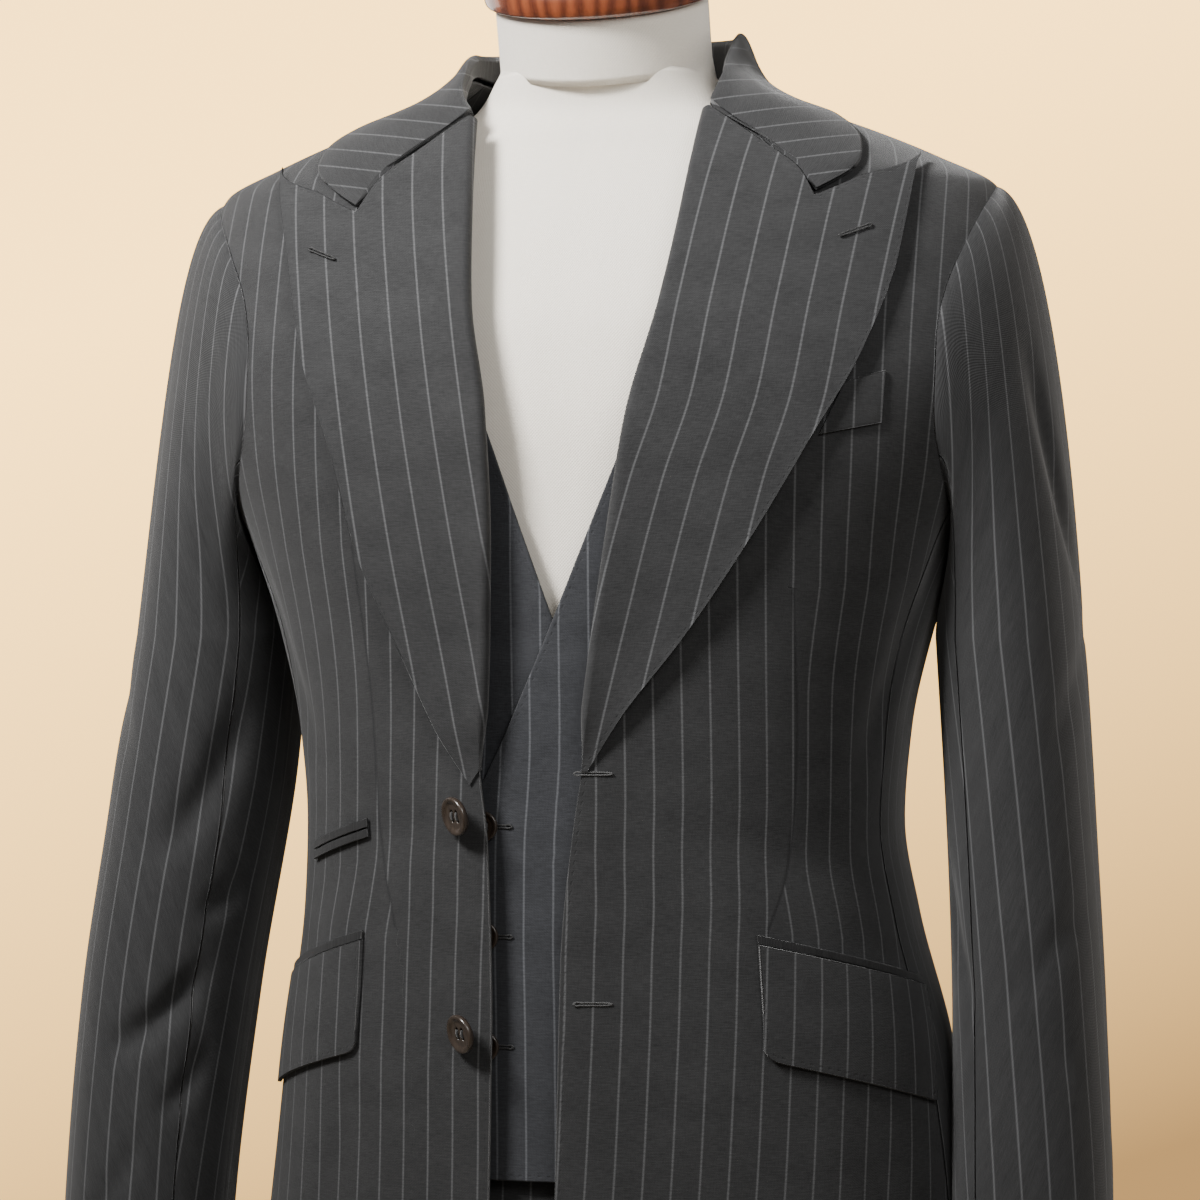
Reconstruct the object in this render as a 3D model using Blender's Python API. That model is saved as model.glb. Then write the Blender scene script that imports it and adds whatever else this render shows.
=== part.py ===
"""Three-piece suit, open jacket over a double-breasted waistcoat and trousers, on a dress form.

Metres, +Z up. The wearer faces -Y and the wearer's left is +X. The origin is on the floor, under the
middle of the stand's base. Every cloth piece is a wall of its own, parted from its neighbours by the
seam gap. The garments share one figure, a stack of rounded sections: a place on it is a turn about
the vertical, 0 at the front and pi at the back, and a height. Each layer of clothing is that figure
drawn in by its own depth, and what lies on a panel is the panel's own points moved out.
"""

import math

import bmesh
import bpy
import numpy as np

# The right sleeve hangs further out, so the figure stands this far left of the middle of its box
MIDDLE_SHIFT = 0.0110

# Cloth walls and gaps
CLOTH = 0.002
LAPEL_CLOTH = 0.0025
LAPEL_LIFT = 0.0013
FLAP_CLOTH = 0.0022
JET_CLOTH = 0.0012
SEAM = 0.0003
HALF = SEAM / 2
SHOULDER_GAP = 0.0022
REST = 0.0009

# Depth of each layer under the jacket's face
WAISTCOAT_DEPTH = 0.007
WAISTCOAT_UNDERLAP = 0.0037
TROUSER_DEPTH = 0.0150

# Jacket
JACKET_HEM = 0.775
NECK_HEIGHT = 1.510
SHOULDER_HEIGHT = 1.445
SHOULDER_TURN = math.radians(94)
ARMHOLE_MIDDLE = 1.350
ARMHOLE_HALF_HEIGHT = 0.095
ARMHOLE_REACH_BACK = math.radians(34)
ARMHOLE_REACH_FRONT = {"left": math.radians(41), "right": math.radians(48)}
# Turns of the side body's seams at the hem, and their angles round the armhole
SIDE_FRONT_HEM = math.radians(74)
SIDE_BACK_HEM = math.radians(126)
SIDE_FRONT_END = math.radians(150)
SIDE_BACK_END = math.radians(230)
SIDE_ROWS = 9
SHOULDER_CELLS = 7
BLADE_HEIGHT = 1.300
BLADE_EASE = 1.6
BREAK_HEIGHT = 1.131
HEM_CORNER = 0.050
JACKET_BUTTON = 0.0105
JACKET_BUTTON_PLACES = ((-0.0465, 1.108), (-0.0445, 0.994))
BUTTON_THICK = {"jacket": 0.0040, "waistcoat": 0.0032}
CUFF_BUTTON = 0.0075
CUFF_BUTTONS = 4
CUFF_BUTTON_STEP = 0.017
BUTTON_SIDES = 12
BUTTON_SEAT = 0.0002
JACKET_BUTTON_SEAT = 0.0005

# Waistcoat
WAISTCOAT_HEM = 0.914
WAISTCOAT_NAPE = 1.475
STRAP_NECK = 1.4885
WAISTCOAT_ARMHOLE = {"middle": 1.340, "half_height": 0.123, "front": math.radians(50),
                     "back": math.radians(44)}
WAISTCOAT_BUTTON = 0.0080
WAISTCOAT_BUTTON_COLUMNS = (-0.0395, 0.0275)
WAISTCOAT_BUTTON_ROWS = (1.101, 1.043, 0.985)

# Trousers
WAIST_TOP = 1.070
WAISTBAND = 0.036
CROTCH = 0.775
HIP_SPLIT = 0.890
TROUSER_HEM = 0.045
FORK_SHARES = np.array([0.06, 0.20, 0.45])

# Dress form and stand
BASE_RADIUS = 0.180
BASE_THICKNESS = 0.012
POLE_RADIUS = 0.011
POLE_X = 0.092
TORSO_FLOOR = 0.896
NECK_ROOT = np.array([0.0, 0.002, 1.506])
NECK_LEAN = math.radians(20)
NECK_HALF_WIDTH = 0.059
NECK_HALF_DEPTH = 0.056
NECK_RINGS = (0.020, 0.048)
FORM_POWER = 2.3
FORM_SIDES = 24
TORSO_ROWS = (1.370, 1.397, 1.423, 1.450, 1.470, 1.490, 1.510)
# Height along the neck and radius, from the cap's lower edge to its finial
CAP_DEPTH = 0.955
CAP_PROFILE = ((0.0483, 0.0610), (0.0505, 0.0640), (0.0600, 0.0645), (0.0670, 0.0600), (0.0720, 0.0400),
               (0.0760, 0.0120), (0.0820, 0.0095), (0.0900, 0.0145), (0.0980, 0.0145), (0.1050, 0.0060))

LEFT, RIGHT = "left", "right"
SIGN = {LEFT: 1.0, RIGHT: -1.0}


def table(columns, *rows):
    """Rows of numbers under named columns, as one array for each column."""
    return {name: np.array(values) for name, values in zip(columns.split(), zip(*rows))}


# Sections of the jacket's face: half width, depth in front of and behind the middle, sideways lean
FIGURE = table(
    "z half_width front back lean",
    (0.775, 0.205, 0.125, 0.138, 0.006),
    (0.850, 0.199, 0.126, 0.139, 0.007),
    (0.920, 0.192, 0.128, 0.136, 0.008),
    (0.980, 0.184, 0.130, 0.128, 0.007),
    (1.050, 0.170, 0.132, 0.113, 0.003),
    (1.100, 0.165, 0.133, 0.105, 0.000),
    (1.150, 0.169, 0.135, 0.105, 0.000),
    (1.200, 0.180, 0.138, 0.112, 0.000),
    (1.250, 0.197, 0.140, 0.120, 0.000),
    (1.300, 0.221, 0.138, 0.126, 0.000),
    (1.350, 0.2345, 0.130, 0.128, 0.000),
    (1.400, 0.231, 0.113, 0.122, 0.000),
    (1.430, 0.2235, 0.099, 0.114, 0.000),
    (1.445, 0.2165, 0.090, 0.108, 0.000),
    (1.460, 0.188, 0.080, 0.101, 0.000),
    (1.480, 0.140, 0.066, 0.091, 0.000),
    (1.490, 0.109, 0.059, 0.085, 0.000),
    (1.500, 0.087, 0.053, 0.079, 0.000),
    (1.512, 0.071, 0.049, 0.073, 0.000),
)
FIGURE_POWER = 2.4

# Sections of the linen form, from its floor to the neck; y is the middle of each section
TORSO = table(
    "z half_width front back y",
    (0.896, 0.158, 0.100, 0.106, 0.000),
    (0.940, 0.161, 0.106, 0.107, 0.000),
    (1.000, 0.156, 0.108, 0.098, 0.000),
    (1.100, 0.144, 0.110, 0.084, 0.000),
    (1.200, 0.160, 0.117, 0.091, 0.000),
    (1.300, 0.174, 0.118, 0.105, 0.000),
    (1.360, 0.178, 0.110, 0.106, 0.000),
    (1.400, 0.178, 0.095, 0.101, 0.000),
    (1.430, 0.168, 0.080, 0.094, 0.000),
    (1.450, 0.150, 0.068, 0.087, 0.000),
    (1.470, 0.116, 0.057, 0.078, 0.000),
    (1.490, 0.074, 0.052, 0.060, 0.003),
    (1.510, 0.060, 0.055, 0.055, 0.002),
)

# Each trouser leg: middle and half sizes of its sections
LEG = table(
    "z x half_width half_depth",
    (0.045, 0.094, 0.050, 0.088),
    (0.250, 0.096, 0.055, 0.090),
    (0.480, 0.098, 0.065, 0.094),
    (0.600, 0.099, 0.077, 0.099),
    (0.700, 0.098, 0.088, 0.103),
    (0.775, 0.0955, 0.0950, 0.106),
)
LEG_POWER = 1.75

# Each sleeve below the armpit: middle, half width and half depth of its sections
SLEEVE = {
    LEFT: table(
        "z x y half_width half_depth",
        (0.835, 0.2395, -0.034, 0.043, 0.050),
        (0.900, 0.2385, -0.026, 0.043, 0.053),
        (1.000, 0.2358, -0.014, 0.041, 0.058),
        (1.110, 0.2300, -0.004, 0.040, 0.063),
        (1.200, 0.2240, 0.002, 0.040, 0.067),
    ),
    RIGHT: table(
        "z x y half_width half_depth",
        (0.835, 0.2585, -0.034, 0.046, 0.050),
        (0.900, 0.2563, -0.026, 0.047, 0.053),
        (1.000, 0.2490, -0.014, 0.049, 0.058),
        (1.110, 0.2340, -0.004, 0.050, 0.063),
        (1.200, 0.2235, 0.002, 0.046, 0.067),
    ),
}
SLEEVE_POWER = 2.1
SLEEVE_TOP = 1.200
# The sleeve's head: how far out it starts, and the directions and lengths of its cubic's handles
HEAD_OUT = 0.0013
HEAD_FORWARD = 0.35
HEAD_FALL = 0.05
HEAD_ROLL = 0.085
HEAD_DROP = 0.48
SLEEVE_SEAM_FRONT = math.radians(125)
SLEEVE_SEAM_BACK = math.radians(232)
SLEEVE_CLEAR = 0.0016

# Front edge of each jacket front, from the hem's corner to the break, and the roll line above it
FRONT_EDGE = {
    LEFT: table("z x", (0.780, -0.004), (0.860, -0.001), (0.959, 0.0023), (1.037, 0.0050), (1.100, 0.0116),
                (1.131, 0.0165)),
    RIGHT: table("z x", (0.780, 0.037), (0.860, 0.0355), (0.959, 0.0331), (1.010, 0.0321), (1.089, 0.0338),
                 (1.131, 0.0380)),
}
ROLL_LINE = {
    LEFT: table("z x", (1.131, 0.0165), (1.200, 0.0255), (1.251, 0.0333), (1.318, 0.0435), (1.376, 0.0579),
                (1.430, 0.0655), (1.483, 0.0693)),
    RIGHT: table("z x", (1.131, 0.0380), (1.200, 0.0360), (1.251, 0.0351), (1.318, 0.0392), (1.376, 0.0500),
                 (1.430, 0.0556), (1.481, 0.0620)),
}
LAPEL_EDGE = {
    LEFT: table("z x", (1.131, 0.0195), (1.160, 0.0377), (1.201, 0.0691), (1.248, 0.0998), (1.299, 0.1298),
                (1.352, 0.1588), (1.398, 0.1731), (1.455, 0.1800)),
    RIGHT: table("z x", (1.123, 0.0430), (1.149, 0.0596), (1.196, 0.0817), (1.245, 0.1035), (1.299, 0.1198),
                 (1.348, 0.1395), (1.398, 0.1529), (1.455, 0.1700)),
}
# The gorge runs from the roll line to the notch; the peak's step then rises to the lapel's tip
GORGE_END = {LEFT: (0.1301, 1.4341), RIGHT: (0.1170, 1.4300)}
COLLAR_CORNER = {LEFT: (0.1490, 1.4475), RIGHT: (0.1385, 1.4450)}
COLLAR_RISE = {LEFT: 0.022, RIGHT: 0.014}
COLLAR_RISE_BACK = 0.029
COLLAR_RISE_FRONT = 0.0045
COLLAR_ROLL = 2.6
COLLAR_CELLS = 6
# Places of the collar's edge on the shoulder and at the nape
COLLAR_SHOULDER = (SHOULDER_TURN, 1.4905)
COLLAR_NAPE = (math.pi, 1.4850)
COLLAR_BOW = 0.010
# Share of the collar's width at which its front end leaves the gorge for the notch
COLLAR_GORGE_SHARE = 0.72
# Collar section: share of the way from foot to edge, share of the rise, height and lift added
COLLAR_SECTION = table(
    "share rise up lift",
    (0.00, 0.0, 0.0019, -0.0024),
    (0.00, 0.5, 0.0012, -0.0023),
    (0.00, 1.0, -0.0012, -0.0020),
    (0.00, 1.0, 0.0016, 0.0008),
    (0.05, 1.0, 0.0006, 0.0034),
    (0.30, 1.0, 0.0000, 0.0042),
    (0.65, 1.0, 0.0000, 0.0043),
    (1.00, 1.0, 0.0000, 0.0036),
    (1.00, 1.0, 0.0000, 0.0014),
    (0.65, 1.0, 0.0000, 0.0022),
    (0.30, 1.0, 0.0000, 0.0021),
    (0.05, 1.0, -0.0022, 0.0014),
    (0.00, 1.0, -0.0034, 0.0000),
    (0.00, 0.5, 0.0012, -0.0003),
    (0.00, 0.0, 0.0019, -0.0004),
)

# Front edge of each waistcoat front; the left one laps over the right
WAISTCOAT_EDGE = {
    LEFT: table("z x", (0.914, -0.055), (1.060, -0.055), (1.105, -0.048), (1.148, -0.0283), (1.2086, -0.0010),
                (1.3274, 0.0469), (1.4250, 0.0860)),
    RIGHT: table("z x", (0.914, -0.040), (1.060, -0.040), (1.105, -0.036), (1.148, -0.0200), (1.2086, 0.0010),
                 (1.3274, 0.0446), (1.4250, 0.0830)),
}
WAISTCOAT_CELLS = {LEFT: 9, RIGHT: 5}

# Slanted hip pockets, ticket pocket and breast welt: corners as (x, z)
HIP_POCKET = {
    LEFT: {"front": (0.105, 1.0410), "back": (0.1800, 1.0130), "drop": 0.060},
    RIGHT: {"front": (0.1085, 1.0390), "back": (0.1660, 1.0130), "drop": 0.060},
}
JET_HEIGHT = 0.005
TICKET_MOUTH = 0.0004
FLAP_FLARE = 0.004
TICKET_POCKET = {"front": (0.1053, 1.0990), "back": (0.1440, 1.0840)}
WELT = {"front_low": (0.1375, 1.3055), "back_low": (0.1680, 1.3120), "rise": 0.0275, "slant": 0.0125,
        "back_slant": 0.0020}


def along(rows, name, at, key="z"):
    """Smooth curve through one column of a table, with no overshoot between its rows."""
    x, y = rows[key], rows[name]
    step = np.diff(x)
    secant = np.diff(y) / step
    product = secant[:-1] * secant[1:]
    total = secant[:-1] + secant[1:]
    slope = np.empty_like(y)
    slope[1:-1] = np.where(product > 0, 2 * product / np.where(total == 0, 1, total), 0)
    slope[0], slope[-1] = secant[0], secant[-1]
    at = np.clip(at, x[0], x[-1])
    i = np.clip(np.searchsorted(x, at, side="right") - 1, 0, len(step) - 1)
    t = (at - x[i]) / step[i]
    rise = y[i + 1] * t * t * (3 - 2 * t) + y[i] * (1 + 2 * t) * (1 - t) ** 2
    return rise + step[i] * (slope[i] * t * (1 - t) ** 2 + slope[i + 1] * t * t * (t - 1))


def ring(turn, half_width, front, back, power):
    """Point of a rounded section: its sine and cosine raised to two over the power."""
    s, c = np.sin(turn), np.cos(turn)
    x = half_width * np.sign(s) * np.abs(s) ** (2 / power)
    y = -np.where(c > 0, front, back) * np.sign(c) * np.abs(c) ** (2 / power)
    return x, y


def slope(rows, name, z):
    """How fast a column of a table changes with height."""
    reach = 0.001
    low = np.maximum(z - reach, rows["z"][0])
    high = np.minimum(z + reach, rows["z"][-1])
    return (along(rows, name, high) - along(rows, name, low)) / (high - low)


def figure(place, lift=0.0, level=False):
    """Points of the jacket's face at places (turn, height), moved out along its normal, or levelly."""
    turn, z = np.broadcast_arrays(place[..., 0], place[..., 1])
    ahead = np.cos(turn) > 0
    wide, front, back = (along(FIGURE, name, z) for name in ("half_width", "front", "back"))
    deep = np.where(ahead, front, back)
    x, y = ring(turn, wide, front, back, FIGURE_POWER)
    across, through = np.abs(x / wide), np.abs(y / deep)
    growth = (across ** FIGURE_POWER * slope(FIGURE, "half_width", z) / wide + through ** FIGURE_POWER
              * np.where(ahead, slope(FIGURE, "front", z), slope(FIGURE, "back", z)) / deep)
    normal = np.stack([np.sign(x) * across ** (FIGURE_POWER - 1) / wide,
                       np.sign(y) * through ** (FIGURE_POWER - 1) / deep, 0 * z if level else -growth], -1)
    normal /= np.linalg.norm(normal, axis=-1, keepdims=True)
    face = np.stack([x + along(FIGURE, "lean", z), y, z], -1)
    return face + normal * np.asarray(lift)[..., None]


def front_place(side, x, z):
    """Place (turn, height) of the point of the front whose distance from the middle is x."""
    x, z = np.asarray(x, float), np.asarray(z, float)
    reach = x - SIGN[side] * along(FIGURE, "lean", z)
    ratio = np.clip(reach / along(FIGURE, "half_width", z), -1, 1)
    return np.stack([np.sign(ratio) * np.arcsin(np.abs(ratio) ** (FIGURE_POWER / 2)), z + 0 * x], -1)


def straight(start, end, cells):
    """Evenly spaced places from start to end."""
    t = np.linspace(0, 1, cells + 1)[:, None]
    return np.asarray(start) * (1 - t) + np.asarray(end) * t


def join(*stretches):
    """One edge from stretches that share their end points."""
    return np.concatenate([stretches[0]] + [stretch[1:] for stretch in stretches[1:]])


def down_front(side, rows, heights):
    """Places on the front along a table of heights and distances from the middle."""
    return front_place(side, along(rows, "x", heights), heights)


def patch(left, right, bottom, top):
    """Grid of places between four edges: each pair of edges is blended, less the corners' blend."""
    u = np.linspace(0, 1, len(bottom))[None, :, None]
    v = np.linspace(0, 1, len(left))[:, None, None]
    corners = ((1 - u) * (1 - v) * left[0] + u * (1 - v) * right[0] + (1 - u) * v * left[-1]
               + u * v * right[-1])
    sides = (1 - u) * left[:, None] + u * right[:, None]
    return sides + (1 - v) * bottom[None] + v * top[None] - corners


def finish(name, colour, roughness, metallic=0.0):
    """Principled material of one colour."""
    material = bpy.data.materials.new(name)
    material.use_nodes = True
    shader = material.node_tree.nodes["Principled BSDF"]
    shader.inputs["Base Color"].default_value = (*colour, 1)
    shader.inputs["Roughness"].default_value = roughness
    shader.inputs["Metallic"].default_value = metallic
    material.diffuse_color = (*colour, 1)
    return material


def solid(name, points, faces, material):
    """Closed mesh object with its faces turned outwards."""
    mesh = bpy.data.meshes.new(name)
    mesh.from_pydata([(p[0] + MIDDLE_SHIFT, p[1], p[2]) for p in points], [], [list(f) for f in faces])
    mesh.materials.append(material)
    shape = bmesh.new()
    shape.from_mesh(mesh)
    bmesh.ops.recalc_face_normals(shape, faces=shape.faces)
    if shape.calc_volume(signed=True) < 0:
        bmesh.ops.reverse_faces(shape, faces=shape.faces)
    shape.to_mesh(mesh)
    shape.free()
    mesh.shade_smooth()
    mesh.set_sharp_from_angle(angle=math.radians(35))
    made = bpy.data.objects.new(name, mesh)
    SUIT.objects.link(made)
    return made


def wall(name, outer, inner, material):
    """Closed wall between an outer and an inner grid of points, with a rim round its edge."""
    rows, columns = outer.shape[:2]
    count = rows * columns
    index = np.arange(count).reshape(rows, columns)
    quads = np.stack([index[:-1, :-1], index[:-1, 1:], index[1:, 1:], index[1:, :-1]], -1).reshape(-1, 4)
    rim = np.concatenate([index[0, :-1], index[:-1, -1], index[-1, :0:-1], index[:0:-1, 0]])
    after = np.roll(rim, -1)
    sides = np.stack([rim, rim + count, after + count, after], -1)
    points = np.concatenate([outer.reshape(-1, 3), inner.reshape(-1, 3)])
    return solid(name, points, np.concatenate([quads, quads[:, ::-1] + count, sides]), material)


def loft(name, rings, material):
    """Closed solid through rings of points, with a flat cap at each end."""
    rows, columns = rings.shape[:2]
    index = np.arange(rows * columns).reshape(rows, columns)
    after = np.roll(index, -1, axis=1)
    quads = np.stack([index[:-1], after[:-1], after[1:], index[1:]], -1).reshape(-1, 4)
    faces = [list(f) for f in quads] + [list(index[0]), list(index[-1])]
    return solid(name, rings.reshape(-1, 3), faces, material)


def turned(side, places):
    """Places of the wearer's left mirrored to the named side."""
    return places * np.array([SIGN[side], 1.0])


def cloth(name, side, places, depth, thickness, material, lift=0.0):
    """Wall of cloth over a grid of places, its face at the given depth under the jacket's face."""
    places = turned(side, places)
    outer = figure(places, lift - depth)
    inner = figure(places, lift - depth - thickness)
    return wall(name, outer, inner, material)


def raised(name, side, places, lift, thickness, material):
    """Wall that lies on the jacket's face: the face's own points moved out."""
    places = turned(side, places)
    return wall(name, figure(places, lift + thickness), figure(places, lift), material)


def trimmed(places, left=0.0, right=0.0, top=0.0):
    """Grid of places drawn back from its left, right and top edges by half a seam, in metres."""
    half_width = along(FIGURE, "half_width", places[..., 1])
    u = np.linspace(0, 1, places.shape[1])[None, :]
    v = np.linspace(0, 1, places.shape[0])[:, None]
    turn = places[..., 0] + (left * (1 - u) - right * u) / np.minimum(half_width, 0.17)
    return np.stack([turn, places[..., 1] - top * v], -1)


def oval(angle, middle, half_height, front, back):
    """Places round an armhole, an oval of turn and height: 0 at the shoulder, pi/2 at the front."""
    reach = np.where(np.sin(angle) > 0, front, back)
    return np.stack([SHOULDER_TURN - reach * np.sin(angle), middle + half_height * np.cos(angle)], -1)


def armhole(side, angle):
    """Places on the jacket's armhole at given angles round it."""
    return oval(angle, ARMHOLE_MIDDLE, ARMHOLE_HALF_HEIGHT, ARMHOLE_REACH_FRONT[side], ARMHOLE_REACH_BACK)


def side_seam(side, hem_turn, end):
    """Seam of the side body, from the hem up to its angle on the armhole."""
    return straight((hem_turn, JACKET_HEM), armhole(side, end), SIDE_ROWS)


def shoulder_seam(gap):
    """Seam along the top of the shoulder, from the neck outwards, turned aside by half its gap."""
    turn = SHOULDER_TURN + gap
    return straight((turn, NECK_HEIGHT), (turn, SHOULDER_HEIGHT), SHOULDER_CELLS)


def jacket_back(side):
    """Half of the back, its rows from the shoulder and neck down to the hem."""
    seam = side_seam(side, SIDE_BACK_HEM, SIDE_BACK_END)
    outer = join(seam, armhole(side, np.linspace(SIDE_BACK_END, 2 * math.pi, 7)))
    upper = 1 - (1 - np.linspace(0, 1, len(outer) - SIDE_ROWS)) ** BLADE_EASE
    heights = np.concatenate([np.linspace(JACKET_HEM, BLADE_HEIGHT, SIDE_ROWS + 1),
                              BLADE_HEIGHT + (NECK_HEIGHT - BLADE_HEIGHT) * upper[1:]])
    centre = np.stack([np.full(len(outer), math.pi), heights], -1)
    neck = straight((math.pi, NECK_HEIGHT), (SHOULDER_TURN, NECK_HEIGHT), 3)
    shoulder = shoulder_seam(SHOULDER_GAP)
    top = join(neck, shoulder)
    bottom = straight(centre[0], outer[0], len(top) - 1)
    return trimmed(patch(centre, outer, bottom, top), left=-HALF, right=-HALF)[::-1, ::-1]


def jacket_side(side):
    """Side body between the two side seams, up to the bottom of the armhole."""
    front = side_seam(side, SIDE_FRONT_HEM, SIDE_FRONT_END)
    back = side_seam(side, SIDE_BACK_HEM, SIDE_BACK_END)
    top = armhole(side, np.linspace(SIDE_FRONT_END, SIDE_BACK_END, 5))
    return trimmed(patch(front, back, straight(front[0], back[0], 4), top), left=HALF, right=HALF)


def jacket_front(side):
    """Front from its edge and roll line to the side body, armhole and shoulder."""
    seam = side_seam(side, SIDE_FRONT_HEM, SIDE_FRONT_END)
    outer = join(seam, armhole(side, np.linspace(SIDE_FRONT_END, 0, 8)))
    corner = np.linspace(0, math.pi / 2, 4)
    edge_x = float(along(FRONT_EDGE[side], "x", JACKET_HEM + HEM_CORNER))
    low = front_place(side, edge_x + HEM_CORNER * (1 - np.sin(corner)),
                      JACKET_HEM + HEM_CORNER * (1 - np.cos(corner)))
    edge = down_front(side, FRONT_EDGE[side], np.linspace(JACKET_HEM + HEM_CORNER, BREAK_HEIGHT, 5))
    gorge_start = ROLL_LINE[side]["z"][-1]
    roll = down_front(side, ROLL_LINE[side], np.linspace(BREAK_HEIGHT, gorge_start, 7))
    inner = join(low, edge, roll, neck_front(side, len(outer) - len(low) - len(edge) - len(roll) + 2))
    top = shoulder_seam(-SHOULDER_GAP)
    bottom = straight(inner[0], outer[0], SHOULDER_CELLS)
    return trimmed(patch(inner, outer, bottom, top), left=0.0, right=HALF)


def neck_front(side, cells):
    """Neck edge of the front, from the top of the roll line round to the shoulder seam."""
    start = down_front(side, ROLL_LINE[side], ROLL_LINE[side]["z"][-1:])[0]
    t = np.linspace(0, 1, cells + 1)
    height = start[1] + (NECK_HEIGHT - start[1]) * (1 - (1 - t) ** 2)
    return np.stack([start[0] + (SHOULDER_TURN - start[0]) * t, height], -1)


def lapel(side):
    """Lapel from the break to its peak; its top follows the gorge to the notch, then the peak's step."""
    heights = np.linspace(ROLL_LINE[side]["z"][0], ROLL_LINE[side]["z"][-1] - 0.0015, 17)
    roll = down_front(side, ROLL_LINE[side], heights)
    edge_table = LAPEL_EDGE[side]
    edge = down_front(side, edge_table, np.linspace(edge_table["z"][0], edge_table["z"][-1], 17))
    notch = front_place(side, GORGE_END[side][0], GORGE_END[side][1] - 0.0028)
    corner = COLLAR_CORNER[side]
    step = front_place(side, corner[0] + 0.003, corner[1] - 0.0055)
    top = join(straight(roll[-1], notch, 4), straight(notch, step, 1), straight(step, edge[-1], 2))
    return patch(roll, edge, straight(roll[0], edge[0], 7), top)


def roll_lift(places):
    """How far the lapel stands off the front: most at its roll, least near its edge."""
    u = np.linspace(0, 1, places.shape[1])[None, :]
    return LAPEL_LIFT + 0.0022 * (1 - u) ** 3 + 0.0007 * u ** 3 + 0 * places[..., 1]


def collar_frame(side, cells):
    """Foot and outer edge of half the collar, from its front end to the middle of the back."""
    foot_front = neck_front(side, cells)
    back = straight((SHOULDER_TURN, NECK_HEIGHT), (math.pi, NECK_HEIGHT), cells)
    foot = join(foot_front, back)
    corner = front_place(side, *COLLAR_CORNER[side])
    t = np.linspace(0, 1, cells + 1)[:, None]
    bow = np.array([0.0, COLLAR_BOW]) * np.sin(math.pi * t)
    edge = join(corner + (COLLAR_SHOULDER - corner) * t + bow, straight(COLLAR_SHOULDER, COLLAR_NAPE, cells))
    return foot, edge


def collar_rings(side):
    """Sections of half the folded collar: the stand rises from the neck edge, the fall drops over it."""
    foot, edge = collar_frame(side, COLLAR_CELLS)
    stations = len(foot)
    t = np.linspace(0, 1, stations)[:, None]
    rise = (COLLAR_RISE_FRONT + (COLLAR_RISE[side] - COLLAR_RISE_FRONT) * np.clip(2 * t, 0, 1)
            + (COLLAR_RISE_BACK - COLLAR_RISE[side]) * np.clip(2 * t - 1, 0, 1))
    share = COLLAR_SECTION["share"][None, :]
    gorge = front_place(side, *GORGE_END[side])
    reach = COLLAR_GORGE_SHARE
    near = foot[0] + (gorge - foot[0]) * np.minimum(share / reach, 1).T
    near = near + (edge[0] - gorge) * np.clip((share - reach) / (1 - reach), 0, 1).T
    line = foot[:, None] + (edge - foot)[:, None] * share[..., None]
    fade = np.clip(1 - t * stations / 3, 0, 1)[..., None]
    places = line * (1 - fade) + near[None] * fade
    height = rise * COLLAR_SECTION["rise"] * (1 - share) ** COLLAR_ROLL + COLLAR_SECTION["up"]
    lift = COLLAR_SECTION["lift"][None, :]
    standing = figure(turned(side, places), lift, level=True)
    lying = figure(turned(side, places), lift)
    points = np.where(share[..., None] < 0.2, standing, lying)
    points[..., 2] += height
    return points


def collar(material):
    """One folded strip from the wearer's left gorge round the neck to the right gorge."""
    left, right = collar_rings(LEFT), collar_rings(RIGHT)
    return loft("jacket_collar", np.concatenate([left, right[-2::-1]]), material)


def sleeve_ring(side, z, angle, inset):
    """Points round a sleeve at a height: 0 is outermost, pi/2 in front; kept clear of the body."""
    rows = SLEEVE[side]
    z = np.asarray(z, float)
    s, c = np.sin(angle), np.cos(angle)
    power = 2 / SLEEVE_POWER
    x = along(rows, "x", z) + (along(rows, "half_width", z) - inset) * np.sign(c) * np.abs(c) ** power
    y = along(rows, "y", z) - (along(rows, "half_depth", z) - inset) * np.sign(s) * np.abs(s) ** power
    return clear_of_body(side, np.stack(np.broadcast_arrays(x, y, z), -1), inset)


def clear_of_body(side, points, inset):
    """Sleeve points below the armhole, moved outwards where they would press into the body."""
    x, y, z = points[..., 0], points[..., 1], points[..., 2]
    room = SLEEVE_CLEAR + inset
    deep = np.where(y < 0, along(FIGURE, "front", z), along(FIGURE, "back", z)) + room
    share = np.clip(1 - np.abs(y / deep) ** FIGURE_POWER, 0, 1) ** (1 / FIGURE_POWER)
    body = SIGN[side] * along(FIGURE, "lean", z) + (along(FIGURE, "half_width", z) + room) * share
    below = z < ARMHOLE_MIDDLE - ARMHOLE_HALF_HEIGHT + REST
    return np.stack([np.where(below, np.maximum(x, body), x), y, z], -1)


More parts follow.
